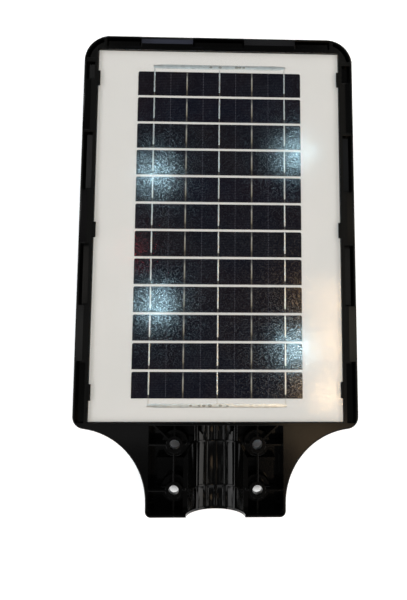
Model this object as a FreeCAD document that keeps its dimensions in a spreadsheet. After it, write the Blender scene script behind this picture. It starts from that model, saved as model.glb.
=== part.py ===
import FreeCAD, Part
import math
import os
import Sketcher
from FreeCAD import Placement, Rotation, Vector

# Solar street lamp, laid flat: +Z up through the solar panel, +Y from the pole neck towards the head's
# free end, X across. Z = 0 is the plane of the housing's lower edge, and X = 0 its plane of symmetry.
# All sizes are millimetres.

DRIVING = {
    # upper shell, seen from above
    "head_width": 259.6,
    "head_top": 223.9,
    "head_bottom": -147.3,
    "head_top_corner": 25.0,
    "head_bottom_corner": 11.0,
    "rim_level": 50.0,
    "rim_band": 4.0,
    "shell_wall": 2.4,
    "wall_draft": 2.5,
    "edge_round": 1.4,
    "deck_underside": 40.0,
    "neck_width": 126.0,
    "neck_end": -223.9,
    "neck_corner": 5.5,
    "neck_underside": 14.0,
    "neck_floor": 17.0,
    "shoulder_radius": 65.0,
    "box_width": 121.2,
    "box_far": -221.5,
    "box_near": -143.9,
    # solar panel
    "panel_width": 232.0,
    "panel_length": 350.8,
    "panel_middle": 34.3,
    "panel_ledge": 45.3,
    "ledge_reach": 4.4,
    "panel_gap": 0.4,
    "glue_depth": 0.5,
    "backsheet_depth": 1.6,
    "panel_top": 48.5,
    "cell_width": 156.75,
    "cell_length": 23.75,
    "cell_pitch": 25.98,
    "cell_depth": 0.3,
    "cell_corner": 1.6,
    "cell_shift": 0.6,
    "first_cell_top": 189.1,
    "cell_rows": 12,
    "busbar_pitch": 31.35,
    "ribbon_width": 2.0,
    "ribbon_depth": 0.2,
    # rails beside the panel
    "rail_slot_width": 2.6,
    "rail_slot_floor": 42.5,
    "rail_frame_width": 3.0,
    "rail_ledge_drop": 1.4,
    "rail_facet_width": 7.3,
    "rail_facet_drop": 1.5,
    "clip_length": 14.7,
    "clip_reach": 2.0,
    # pole saddle and its bolt bosses
    "pole_radius": 26.5,
    "saddle_groove": 1.5,
    "saddle_half_width": 29.8,
    "saddle_land": 38.0,
    "saddle_rib": 1.6,
    "bolt_spacing_x": 76.0,
    "bolt_spacing_y": 40.0,
    "bolt_middle": -182.3,
    "bolt_hole_radius": 4.5,
    "boss_radius": 7.6,
    "boss_top": 43.0,
    "boss_base_radius": 12.0,
    "boss_base_top": 34.0,
    "nut_pocket_radius": 9.5,
    "nut_pocket_top": 31.5,
    "web": 1.6,
    # base cover
    "cover_underside": 8.0,
    "cover_depth": 2.5,
    "cover_gap": 0.4,
    "window_width": 168.0,
    "window_length": 222.0,
    "window_middle": 65.0,
    # optics
    "lens_width": 184.0,
    "lens_length": 238.0,
    "lens_depth": 2.2,
    "lens_gasket_depth": 0.5,
    "led_board_underside": 17.0,
    "led_board_depth": 1.6,
    "chip_depth": 0.8,
    # inner carrier, battery and controller
    "carrier_underside": 22.0,
    "carrier_depth": 1.5,
    "carrier_width": 200.0,
    "carrier_length": 200.0,
    "carrier_middle": 70.0,
    "cell_can_radius": 9.2,
    "cell_can_length": 65.0,
    "battery_middle": 120.0,
    "controller_width": 92.0,
    "controller_length": 62.0,
    "controller_middle": 20.0,
    "controller_underside": 27.5,
    "board_depth": 1.6,
    # motion sensor and power button
    "control_row": -100.0,
    "dome_radius": 11.0,
    "dome_tip": 0.8,
    "button_place": 48.0,
    "button_radius": 6.0,
    "button_travel": 1.5,
}

doc = FreeCAD.newDocument("solar_street_lamp")
sheet = doc.addObject("Spreadsheet::Sheet", "Sizes")
for row, (alias, number) in enumerate(DRIVING.items(), start=1):
    sheet.set("A%d" % row, alias.replace("_", " "))
    sheet.set("B%d" % row, str(number))
    sheet.setAlias("B%d" % row, alias)
doc.recompute()

parts = []


def size(alias):
    """A driving dimension, read back from the sheet."""
    return float(sheet.get(alias))


def formula(text):
    """An expression in sheet aliases, with every alias pointed at the sheet."""
    words = []
    word = ""
    for letter in text + " ":
        if letter.isalnum() or letter == "_":
            word += letter
        else:
            words.append("Sizes." + word if word in DRIVING else word)
            words.append(letter)
            word = ""
    return "".join(words).strip()


def bind(thing, prop, text):
    thing.setExpression(prop, formula(str(text)))


def place(thing, x, y, z, turn=None):
    if turn is not None:
        thing.Placement = Placement(Vector(0, 0, 0), turn)
    bind(thing, "Placement.Base.x", x)
    bind(thing, "Placement.Base.y", y)
    bind(thing, "Placement.Base.z", z)
    return thing


def box(name, x, y, z):
    """A block from three (low, high) pairs of expressions."""
    block = doc.addObject("Part::Box", name)
    for prop, (low, high) in (("Length", x), ("Width", y), ("Height", z)):
        bind(block, prop, "(%s) - (%s)" % (high, low))
    return place(block, x[0], y[0], z[0])


def centred(name, width, length, middle, z):
    """A block centred on X = 0 and on Y = middle."""
    half_x = "(%s) / 2" % width
    half_y = "(%s) / 2" % length
    return box(name, ("-" + half_x, half_x),
               ("%s - %s" % (middle, half_y), "%s + %s" % (middle, half_y)), z)


def rod(name, radius, z, x, y):
    """An upright cylinder."""
    bar = doc.addObject("Part::Cylinder", name)
    bind(bar, "Radius", radius)
    bind(bar, "Height", "(%s) - (%s)" % (z[1], z[0]))
    return place(bar, x, y, z[0])


def lying_rod(name, radius, y, z):
    """A cylinder along Y on X = 0."""
    bar = doc.addObject("Part::Cylinder", name)
    bind(bar, "Radius", radius)
    bind(bar, "Height", "(%s) - (%s)" % (y[1], y[0]))
    return place(bar, "0", y[0], z, Rotation(Vector(1, 0, 0), -90))


def fuse(name, pieces):
    joined = doc.addObject("Part::MultiFuse", name)
    joined.Shapes = pieces
    return joined


def cut(name, base, tools):
    left = doc.addObject("Part::Cut", name)
    left.Base = base
    left.Tool = tools[0] if len(tools) == 1 else fuse(name + "_tools", tools)
    return left


def made(name, shape):
    """A piece whose shape comes from Part's own functions."""
    thing = doc.addObject("Part::Feature", name)
    thing.Shape = shape
    return thing


def keep(thing, label):
    thing.Label = label
    parts.append(thing)
    return thing


def body(name):
    return doc.addObject("PartDesign::Body", name)


def sketch_on(owner, role, name, offset=0.0):
    """A sketch on one of the body's own origin planes."""
    sketch = owner.newObject("Sketcher::SketchObject", name)
    plane = [item for item in owner.Origin.OriginFeatures if item.Role == role][0]
    sketch.AttachmentSupport = [(plane, "")]
    sketch.MapMode = "FlatFace"
    sketch.AttachmentOffset = Placement(Vector(0, 0, offset), Rotation())
    return sketch


def chain(sketch, edges):
    """Adds edges that follow each other in a closed loop, joined where their ends meet."""
    first = sketch.GeometryCount
    for edge in edges:
        sketch.addGeometry(edge, False)
    total = len(edges)
    for index, edge in enumerate(edges):
        following = edges[(index + 1) % total]
        here, there = meeting_ends(edge, following)
        sketch.addConstraint(Sketcher.Constraint(
            "Coincident", first + index, here, first + (index + 1) % total, there))


def meeting_ends(edge, following):
    """Which end of each edge, 1 for its start and 2 for its end, lies where the two meet."""
    gaps = []
    for here, a in ((2, edge.EndPoint), (1, edge.StartPoint)):
        for there, b in ((1, following.StartPoint), (2, following.EndPoint)):
            gaps.append((a.distanceToPoint(b), here, there))
    return min(gaps)[1:]


def corner(centre, radius, start, end):
    """An arc about centre, anticlockwise from start to end in degrees."""
    circle = Part.Circle(Vector(centre[0], centre[1], 0), Vector(0, 0, 1), radius)
    return Part.ArcOfCircle(circle, math.radians(start), math.radians(end))


def line(a, b):
    return Part.LineSegment(Vector(a[0], a[1], 0), Vector(b[0], b[1], 0))


def rounded(x0, x1, y0, y1, low_radius, high_radius):
    """The edges of a rectangle with one radius on its -Y corners and one on its +Y corners."""
    return [
        line((x0 + low_radius, y0), (x1 - low_radius, y0)),
        corner((x1 - low_radius, y0 + low_radius), low_radius, -90, 0),
        line((x1, y0 + low_radius), (x1, y1 - high_radius)),
        corner((x1 - high_radius, y1 - high_radius), high_radius, 0, 90),
        line((x1 - high_radius, y1), (x0 + high_radius, y1)),
        corner((x0 + high_radius, y1 - high_radius), high_radius, 90, 180),
        line((x0, y1 - high_radius), (x0, y0 + low_radius)),
        corner((x0 + low_radius, y0 + low_radius), low_radius, 180, 270),
    ]


def rectangle_sketch(owner, name, width, length, middle, level):
    """A rectangle about (0, middle) with its four driving sizes bound to the sheet."""
    sketch = sketch_on(owner, "XY_Plane", name, level)
    half_x = size(width) / 2
    half_y = size(length) / 2
    y = size(middle)
    corners = [(-half_x, y - half_y), (half_x, y - half_y), (half_x, y + half_y), (-half_x, y + half_y)]
    chain(sketch, [line(corners[i], corners[(i + 1) % 4]) for i in range(4)])
    for edge, direction in ((0, "Horizontal"), (1, "Vertical"), (2, "Horizontal"), (3, "Vertical")):
        sketch.addConstraint(Sketcher.Constraint(direction, edge))
    named = (
        ("across", Sketcher.Constraint("DistanceX", 0, 1, 0, 2, 2 * half_x), width),
        ("along", Sketcher.Constraint("DistanceY", 1, 1, 1, 2, 2 * half_y), length),
        ("left", Sketcher.Constraint("DistanceX", 0, 1, -1, 1, half_x), width + " / 2"),
        ("low", Sketcher.Constraint("DistanceY", 0, 1, -1, 1, half_y - y), "%s / 2 - %s" % (length, middle)),
    )
    for title, constraint, text in named:
        index = sketch.addConstraint(constraint)
        sketch.renameConstraint(index, title)
        bind(sketch, "Constraints." + title, text)
    return sketch


def pad(owner, sketch, name, length, reverse=False):
    feature = owner.newObject("PartDesign::Pad", name)
    feature.Profile = sketch
    bind(feature, "Length", length)
    feature.Reversed = reverse
    return feature


def pocket(owner, sketch, name, length, upward=False, taper=0.0):
    """Removes material below the sketch, or above it when upward is set."""
    feature = owner.newObject("PartDesign::Pocket", name)
    feature.Profile = sketch
    bind(feature, "Length", length)
    feature.Reversed = upward
    feature.TaperAngle = taper
    return feature


def turned(name, outline):
    """A body of revolution about Z, from the (radius, height) corners of its half section."""
    owner = body(name)
    sketch = sketch_on(owner, "XZ_Plane", name + "_section")
    total = len(outline)
    chain(sketch, [line(outline[i], outline[(i + 1) % total]) for i in range(total)])
    spin = owner.newObject("PartDesign::Revolution", name + "_turn")
    spin.Profile = sketch
    spin.ReferenceAxis = (sketch, ["V_Axis"])
    spin.Angle = 360
    return owner


def prism(outline, low, high):
    """A straight prism on a horizontal outline of edges."""
    wire = Part.Wire(Part.__sortEdges__([edge.toShape() for edge in outline]))
    face = Part.Face(wire)
    face.translate(Vector(0, 0, low))
    return face.extrude(Vector(0, 0, high - low))


def flare(outline, inset, low, high):
    """A solid between two levels whose sides lean outward with the shell's draft."""
    wires = []
    for level in (low, high):
        edges = [edge.toShape() for edge in outline(inset + draft(level))]
        ring = Part.Wire(Part.__sortEdges__(edges))
        ring.translate(Vector(0, 0, level))
        wires.append(ring)
    return Part.makeLoft(wires, True, True)


def draft(level):
    """How far the head's sides have come in at a level below the upright band of the rim."""
    drop = size("rim_level") - size("rim_band") - level
    return max(drop, 0.0) * math.tan(math.radians(size("wall_draft")))


def screws(places, seat, head_radius, head_depth, shank_radius, shank_length, upward=True):
    """Separate pan-head screws whose heads bear on the level seat, shanks up or down from it."""
    way = 1 if upward else -1
    solids = []
    for x, y in places:
        head = Part.makeCylinder(head_radius, head_depth, Vector(x, y, seat), Vector(0, 0, -way))
        shank = Part.makeCylinder(shank_radius, shank_length, Vector(x, y, seat), Vector(0, 0, way))
        slot_low = Vector(x - head_radius, y - 0.3, seat - way * head_depth)
        if way < 0:
            slot_low.z -= 0.6
        slot = Part.makeBox(2 * head_radius, 0.6, 0.6, slot_low)
        solids.append(head.fuse(shank).removeSplitter().cut(slot))
    return Part.makeCompound(solids)


def wire(route, radius):
    """A round wire along straight runs joined by tangent arcs as large as their runs allow."""
    points = [Vector(*point) for point in route]
    edges = []
    start = points[0]
    for before, here, after in zip(points, points[1:], points[2:]):
        inward = before - here
        outward = after - here
        half_turn = (math.pi - inward.getAngle(outward)) / 2
        arc_radius = 0.45 * min(inward.Length, outward.Length) / math.tan(half_turn)
        back = arc_radius * math.tan(half_turn)
        first = here + inward.normalize() * back
        last = here + outward.normalize() * back
        bisector = (inward + outward).normalize()
        middle = here + bisector * (arc_radius / math.cos(half_turn) - arc_radius)
        edges.append(Part.LineSegment(start, first).toShape())
        edges.append(Part.Arc(first, middle, last).toShape())
        start = last
    edges.append(Part.LineSegment(start, points[-1]).toShape())
    path = Part.Wire(edges)
    ring = Part.Wire(Part.Circle(points[0], points[1] - points[0], radius).toShape())
    tube = path.makePipeShell([ring], True, False)
    share = tube.Volume / (math.pi * radius ** 2 * path.Length)
    if abs(share - 1) > 0.02:
        raise ValueError("a wire's volume is %.3f of its section times its length" % share)
    return tube


# ------------------------------------------------------------------------------------------- upper shell

half_head = size("head_width") / 2
half_neck = size("neck_width") / 2
rim = size("rim_level")
wall = size("shell_wall")


def head_outline(inset):
    return rounded(-half_head + inset, half_head - inset, size("head_bottom") + inset,
                   size("head_top") - inset, size("head_bottom_corner") - inset,
                   size("head_top_corner") - inset)


def cavity_outline(inset):
    """The head's inside, which stops short at the wall between it and the neck."""
    return rounded(-half_head + inset, half_head - inset, size("box_near") + inset,
                   size("head_top") - inset, size("head_bottom_corner") - wall,
                   size("head_top_corner") - inset)


def shoulder_circle():
    """Centre of the concave shoulder arc, tangent to the neck's side and to the head's corner."""
    corner_x = half_head - size("head_bottom_corner")
    corner_y = size("head_bottom") + size("head_bottom_corner")
    reach = size("shoulder_radius") + size("head_bottom_corner")
    x = half_neck + size("shoulder_radius")
    y = corner_y - math.sqrt(reach ** 2 - (x - corner_x) ** 2)
    return x, y, math.degrees(math.atan2(corner_y - y, corner_x - x))


def neck_edges():
    """The neck's sides, end and shoulders, from the right shoulder's tip round to the left one's."""
    x, y, meet = shoulder_circle()
    radius = size("shoulder_radius")
    bend = size("neck_corner")
    end = size("neck_end")
    return [
        corner((x, y), radius, meet, 180),
        line((half_neck, y), (half_neck, end + bend)),
        corner((half_neck - bend, end + bend), bend, -90, 0),
        line((half_neck - bend, end), (-half_neck + bend, end)),
        corner((-half_neck + bend, end + bend), bend, 180, 270),
        line((-half_neck, end + bend), (-half_neck, y)),
        corner((-x, y), radius, 0, 180 - meet),
    ]


def shoulder_tip():
    x, y, meet = shoulder_circle()
    radius = size("shoulder_radius")
    return x + radius * math.cos(math.radians(meet)), y + radius * math.sin(math.radians(meet))


def neck_outline():
    """Neck and shoulders, closed by a line inside the head."""
    tip_x, tip_y = shoulder_tip()
    inside = size("box_near") + wall
    return neck_edges() + [
        line((-tip_x, tip_y), (-tip_x, inside)),
        line((-tip_x, inside), (tip_x, inside)),
        line((tip_x, inside), (tip_x, tip_y)),
    ]


def whole_outline():
    """The lamp's outline at the rim: head, shoulders and neck in one smooth loop."""
    meet = shoulder_circle()[2]
    low = size("head_bottom_corner")
    high = size("head_top_corner")
    low_y = size("head_bottom") + low
    high_y = size("head_top") - high
    return neck_edges() + [
        corner((-half_head + low, low_y), low, 180, 360 - meet),
        line((-half_head, low_y), (-half_head, high_y)),
        corner((-half_head + high, high_y), high, 90, 180),
        line((-half_head + high, size("head_top")), (half_head - high, size("head_top"))),
        corner((half_head - high, high_y), high, 0, 90),
        line((half_head, high_y), (half_head, low_y)),
        corner((half_head - low, low_y), low, meet - 180, 0),
    ]


def shell_block():
    """Outer form of the upper shell: an upright rim band over the leaning head and the shallower neck."""
    owner = body("shell_block")
    band_low = size("rim_level") - size("rim_band")
    band = sketch_on(owner, "XY_Plane", "rim_outline", band_low)
    chain(band, whole_outline())
    top = pad(owner, band, "rim_pad", "rim_band")
    doc.recompute()
    rounded_edges(owner, "rim_round", top, rim, "edge_round")
    head = sketch_on(owner, "XY_Plane", "head_outline", band_low)
    chain(head, head_outline(0))
    foot = sketch_on(owner, "XY_Plane", "head_foot")
    chain(foot, head_outline(draft(0)))
    block = owner.newObject("PartDesign::AdditiveLoft", "head_block")
    block.Profile = foot
    block.Sections = [head]
    block.Ruled = True
    doc.recompute()
    neck = sketch_on(owner, "XY_Plane", "neck_outline", size("neck_underside"))
    chain(neck, neck_outline())
    pad(owner, neck, "neck_pad", "rim_level - rim_band - neck_underside")
    doc.recompute()
    return owner


def rounded_edges(owner, name, base, level, radius):
    """Rounds every edge of the body that lies in one level."""
    names = []
    for number, edge in enumerate(base.Shape.Edges, start=1):
        if abs(edge.BoundBox.ZMin - level) < 0.01 and abs(edge.BoundBox.ZMax - level) < 0.01:
            names.append("Edge%d" % number)
    feature = owner.newObject("PartDesign::Fillet", name)
    feature.Base = (base, names)
    bind(feature, "Radius", radius)
    doc.recompute()
    return feature


def shell_hollows():
    """Cutters for the head's inside, the panel's seat, the neck's box and the hollow shoulders."""
    seal_ledge = size("cover_underside") + size("cover_depth") + 0.5
    inside = [
        made("skirt_space", flare(cavity_outline, wall, -1, seal_ledge)),
        made("ledge_space", flare(cavity_outline, wall + 3.6, seal_ledge - 1, seal_ledge + 3)),
        made("electronics_space", flare(cavity_outline, wall, seal_ledge + 2, size("deck_underside"))),
    ]
    opening = centred("deck_opening", "panel_width - 2 * ledge_reach + 2 * panel_gap",
                      "panel_length - 2 * ledge_reach + 2 * panel_gap", "panel_middle",
                      ("deck_underside - 1", "rim_level + 1"))
    seat = centred("panel_seat", "panel_width + 2 * panel_gap", "panel_length + 2 * panel_gap",
                   "panel_middle", ("panel_ledge", "rim_level + 1"))
    half_box = size("box_width") / 2
    box_outline = rounded(-half_box, half_box, size("box_far"), size("box_near"), 3.2, 2.0)
    neck_box = made("neck_box", prism(box_outline, size("neck_floor"), rim + 1))
    x, y, _ = shoulder_circle()
    radius = size("shoulder_radius") + wall
    tip_x = x - 16
    tip_y = y + math.sqrt(radius ** 2 - 16 ** 2)
    low_y = y + math.sqrt(radius ** 2 - (x - half_neck) ** 2)
    near = size("box_near")
    hollows = []
    for side in (1, -1):
        start = (side * half_neck, near)
        tip = (side * tip_x, tip_y)
        low = (side * half_neck, low_y)
        angles = [math.degrees(math.atan2(point[1] - y, point[0] - side * x)) for point in (tip, low)]
        bend = corner((side * x, y), radius, min(angles), max(angles))
        edges = [line(start, (tip[0], near)), line((tip[0], near), tip), bend, line(low, start)]
        hollows.append(made("shoulder_hollow", prism(edges, size("neck_underside") - 1, rim - wall)))
    return inside + [opening, seat, neck_box] + hollows


# Stretches of the rails, as (from, to) along the rail. A deep stretch has a slot beside the outer wall
# and a dropped ledge, and a flat one runs to the outer edge with a sloping facet.
SIDE_DEEP = ((197.3, 179.8), (127.3, 72.0), (20.8, -36.0), (-87.0, -141.8))
SIDE_FLAT = ((179.8, 129.8), (72.0, 21.5), (-36.0, -87.0))
END_DEEP = ((-108.3, -75.4), (-25.4, 24.1), (74.0, 107.6))
END_FLAT = ((-75.4, -25.4), (24.1, 74.0))
# Widths of the slots across the two ends of a deep stretch, and how far a side ledge falls away outwards.
FAR_SLOT = 2.4
NEAR_SLOT = 0.9
END_SLOT = 1.3
LEDGE_FALL = 0.5


def rail_cutters():
    """Cutters that shape the rails beside and beyond the panel."""
    outer = half_head - wall
    frame = size("panel_width") / 2 + size("panel_gap") + size("rail_frame_width")
    slot = size("rail_slot_width")
    ledge = rim - size("rail_ledge_drop")
    floor = size("rail_slot_floor")
    top = size("head_top") - wall
    panel_end = size("panel_middle") + size("panel_length") / 2
    end_frame = panel_end + size("panel_gap") + size("rail_frame_width")
    cutters = []
    deep = (floor, rim + 1)
    section = [(frame, rim + 1), (frame, ledge), (outer, ledge - LEDGE_FALL), (outer, rim + 1)]
    for side in (1, -1):
        across = sorted((side * frame, side * outer))
        beside_wall = sorted((side * (outer - slot), side * outer))
        for high, low in SIDE_DEEP:
            cutters.append(made("rail_pocket", facet_prism(section, side, low, high)))
            cutters.append(box("rail_slot", beside_wall, (low, high), deep))
            cutters.append(box("rail_slot", across, (high - FAR_SLOT, high), deep))
            cutters.append(box("rail_slot", across, (low, low + NEAR_SLOT), deep))
    for low, high in END_DEEP:
        cutters.append(box("rail_pocket", (low, high), (end_frame, top), (ledge, rim + 1)))
        cutters.append(box("rail_slot", (low, high), (top - slot, top), deep))
        cutters.append(box("rail_slot", (low, low + END_SLOT), (end_frame, top), deep))
        cutters.append(box("rail_slot", (high - END_SLOT, high), (end_frame, top), deep))
    for side in (1, -1):
        cutters.append(corner_pocket(side, outer, top, ledge, floor))
    facet = size("rail_facet_width")
    drop = size("rail_facet_drop")
    for side in (1, -1):
        for high, low in SIDE_FLAT:
            points = [(half_head + 1, rim + 1), (half_head - facet, rim), (half_head + 1, rim - drop)]
            cutters.append(made("rail_facet", facet_prism(points, side, low, high)))
    for low, high in END_FLAT:
        points = [(size("head_top") + 1, rim + 1), (size("head_top") - facet, rim),
                  (size("head_top") + 1, rim - drop)]
        wedge = facet_prism(points, 1, -high, -low)
        wedge.rotate(Vector(0, 0, 0), Vector(0, 0, 1), 90)
        cutters.append(made("rail_facet", wedge))
    return cutters


def facet_prism(points, side, low, high):
    """A thin wedge along Y from the (across, height) corners of its section."""
    corners = [Vector(side * across, low, height) for across, height in points]
    face = Part.Face(Part.makePolygon(corners + corners[:1]))
    return face.extrude(Vector(0, high - low, 0))


# Where the two ribs beside a top corner's curved pocket stand: the first across, the second along.
CORNER_RIBS = (111.0, 201.3)


def corner_pocket(side, outer, top, ledge, floor):
    """The curved pocket between the two ribs of a top corner, with its slot along the outer wall."""
    radius = size("head_top_corner") - wall
    slot = size("rail_slot_width")
    centre = (outer - radius, top - radius)
    rib_x, rib_y = CORNER_RIBS
    inner_x = size("panel_width") / 2 + size("panel_gap") + 1.2
    inner_y = size("panel_middle") + size("panel_length") / 2 + size("panel_gap") + 1.2
    whole = prism(rounded(-outer, outer, -outer, top, 10, radius), ledge, rim + 1)
    corner_area = Part.makeBox(outer - rib_x, top - rib_y, 60, Vector(rib_x, rib_y, 0))
    panel_area = Part.makeBox(inner_x, inner_y, 60, Vector(0, 0, 0))
    shallow = whole.common(corner_area).cut(panel_area)
    deep = prism(rounded(-outer, outer, -outer, top, 10, radius), floor, rim + 1)
    inner = prism(rounded(-outer + slot, outer - slot, -outer, top - slot, 10, radius - slot), 0, rim + 2)
    shape = shallow.fuse(deep.common(corner_area).cut(inner))
    if side < 0:
        shape = shape.mirror(Vector(0, 0, 0), Vector(1, 0, 0))
    return made("corner_pocket", shape)


# The clips' middles along each side of the panel, and how far each is rooted in the rail.
CLIP_MIDDLES = ((-1, (181.2, 34.0, -114.9)), (1, (183.1, 35.1, -112.5)))
CLIP_ROOT = 2.4


def panel_clips():
    """Six hooks that lap over the panel's long edges."""
    half_panel = size("panel_width") / 2
    clips = []
    for side, middles in CLIP_MIDDLES:
        for middle in middles:
            x0 = min(side * (half_panel - size("clip_reach")), side * (half_panel + CLIP_ROOT))
            clips.append(box("panel_clip", (x0, x0 + size("clip_reach") + CLIP_ROOT),
                             (middle - size("clip_length") / 2, middle + size("clip_length") / 2),
                             ("panel_top + 0.1", "rim_level - 0.2")))
    return clips


# The saddle's block narrows from its full half width at the first place along to the slim one at the second.
SADDLE_NECK = (-176.0, -160.5)
SADDLE_SLIM = 20.0
SADDLE_RIBS = (-17.0, -8.7, 0.0, 8.7, 17.0)
POLE_CLEARANCE = 0.8


def saddle_solid():
    """Half-round trough that the pole lies in, with its lands, rings and long ribs."""
    half = size("saddle_half_width")
    near = size("box_near") + 1
    far = size("box_far") - 1
    land = size("saddle_land")
    floor = size("neck_floor") - 1
    wide_end, slim_start = SADDLE_NECK
    slim = SADDLE_SLIM
    plan = [(-half, far), (half, far), (half, wide_end), (slim, slim_start), (slim, near),
            (-slim, near), (-slim, slim_start), (-half, wide_end)]
    total = len(plan)
    block = prism([line(plan[i], plan[(i + 1) % total]) for i in range(total)], floor, land)
    pole = size("pole_radius")
    groove = pole + size("saddle_groove")
    length = near - far
    trough = Part.makeCylinder(groove, length, Vector(0, far, rim), Vector(0, 1, 0))
    block = block.cut(trough)
    rib = size("saddle_rib")
    shell = Part.makeCylinder(groove + 1, length, Vector(0, far, rim), Vector(0, 1, 0))
    shell = shell.cut(Part.makeCylinder(pole, length, Vector(0, far, rim), Vector(0, 1, 0)))
    reach = size("bolt_spacing_y") / 2
    ribs = []
    for row in (-1, 1):
        y = size("bolt_middle") + row * reach - rib / 2
        ribs.append(Part.makeBox(2 * half, rib, land - floor, Vector(-half, y, floor)))
    for x in SADDLE_RIBS:
        ribs.append(Part.makeBox(rib, length, land - floor, Vector(x - rib / 2, far, floor)))
    for piece in ribs:
        block = block.fuse(piece.common(shell))
    first_ring = size("bolt_middle") + reach + rib / 2
    relief = Part.makeCylinder(pole + POLE_CLEARANCE, near - first_ring, Vector(0, first_ring, rim),
                               Vector(0, 1, 0))
    return made("pole_saddle", block.cut(relief).removeSplitter())


# Low shelves in the neck's bays: across from the middle, and along; then the webs along their far edges.
SHELF_ACROSS = (40.0, 55.0)
SHELF_ALONG = (-201.0, -177.0)
SHELF_WEB_ACROSS = (28.5, 55.0)
SHELF_WEB_ALONG = (-178.4, -175.4)
BRACE_LENGTH = 27.0
BRACE_ANGLE = 42.4
GUSSET_PLACE = 12.6
GUSSET_FOOT = -157.0


def neck_webs():
    """Bolt bosses with the webs that stiffen the neck's box."""
    pieces = []
    half_x = size("bolt_spacing_x") / 2
    half_y = size("bolt_spacing_y") / 2
    middle = size("bolt_middle")
    web = size("web")
    near = size("box_near") + 1
    far = size("box_far") - 1
    half_box = size("box_width") / 2 + 1
    for side in (-1, 1):
        x = side * half_x
        tall = ("neck_floor - 1", "boss_top")
        pieces.append(box("long_web", (x - web / 2, x + web / 2), (far, near), tall))
        for row in (-1, 1):
            y = middle + row * half_y
            along = (y - web / 2, y + web / 2)
            pieces.append(rod("boss_base", "boss_base_radius", ("neck_floor - 1", "boss_base_top"), x, y))
            pieces.append(rod("boss", "boss_radius", ("neck_floor", "boss_top"), x, y))
            wide = sorted((x, side * half_box))
            pieces.append(box("cross_web", wide, along, tall))
            short = sorted((x, side * (size("saddle_half_width") - 2.5)))
            pieces.append(box("stub_web", short, along, ("neck_floor - 1", "boss_top - 2.4")))
        shelf_web = sorted(side * across for across in SHELF_WEB_ACROSS)
        pieces.append(box("shelf_web", shelf_web, SHELF_WEB_ALONG, ("neck_floor - 1", "33")))
        shelf = sorted(side * across for across in SHELF_ACROSS)
        pieces.append(box("shelf", shelf, SHELF_ALONG, ("neck_floor - 1", "24")))
        brace = Part.makeBox(BRACE_LENGTH, web, size("boss_top") - size("neck_floor") + 1,
                             Vector(0, -web / 2, size("neck_floor") - 1))
        brace.rotate(Vector(0, 0, 0), Vector(0, 0, 1), BRACE_ANGLE if side > 0 else 180 - BRACE_ANGLE)
        brace.translate(Vector(x, middle + half_y, 0))
        pieces.append(made("brace", brace))
        gusset_x = side * GUSSET_PLACE
        profile = [(near, 38.0), (near, 20.0), (GUSSET_FOOT, 20.0), (GUSSET_FOOT, 24.5)]
        corners = [Vector(gusset_x - web / 2, y, z) for y, z in profile]
        gusset = Part.Face(Part.makePolygon(corners + corners[:1])).extrude(Vector(web, 0, 0))
        pieces.append(made("gusset", gusset))
    return pieces


def bolt_cutters():
    """The four bolt holes, each with a pocket for its nut on the underside."""
    bolt_span = ("neck_underside - 1", "rim_level")
    nut_span = ("neck_underside - 1", "nut_pocket_top")
    tools = []
    for side in (-1, 1):
        for row in (-1, 1):
            x = side * size("bolt_spacing_x") / 2
            y = size("bolt_middle") + row * size("bolt_spacing_y") / 2
            tools.append(rod("bolt_hole", "bolt_hole_radius", bolt_span, x, y))
            tools.append(rod("nut_pocket", "nut_pocket_radius", nut_span, x, y))
    return tools


COVER_SCREW_INSET = 12.6
COVER_SCREW_ROWS = (-126.0, -52.0, 24.0, 100.0, 176.0)


def cover_screw_places():
    """The screws round the edge of the base cover."""
    x = half_head - COVER_SCREW_INSET
    places = [(side * x, y) for side in (-1, 1) for y in COVER_SCREW_ROWS]
    places += [(side * 52.0, size("head_top") - COVER_SCREW_INSET) for side in (-1, 1)]
    return places


def shell_posts():
    """Posts under the deck that the base cover's screws bite into."""
    seat = "cover_underside + cover_depth"
    posts = []
    for x, y in cover_screw_places():
        post = rod("cover_post", 4.2, (seat, "deck_underside + 1"), x, y)
        hole = rod("cover_post_hole", 1.55, (seat + " - 1", seat + " + 12"), x, y)
        posts.append(cut("cover_post_bored", post, [hole]))
    return posts


def housing():
    """The one-piece moulding: head, neck, saddle, bosses, rails and clips."""
    block = cut("shell_hollowed", shell_block(), shell_hollows() + rail_cutters())
    inside = fuse("shell_built", [block, saddle_solid()] + neck_webs() + shell_posts() + panel_clips())
    first_ring = "bolt_middle + bolt_spacing_y / 2 + saddle_rib / 2"
    notch = lying_rod("pole_notch", "pole_radius", ("neck_end - 1", first_ring), "rim_level")
    clear_top = box("above_rim", ("-box_width / 2", "box_width / 2"), ("box_far", "box_near"),
                    ("boss_top", "rim_level + 1"))
    shell = cut("shell_finished", inside, bolt_cutters() + [notch, clear_top])
    keep(shell, "housing")


# ------------------------------------------------------------------------------------------- solar panel

JUNCTION_DEPTH = 5.5


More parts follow.
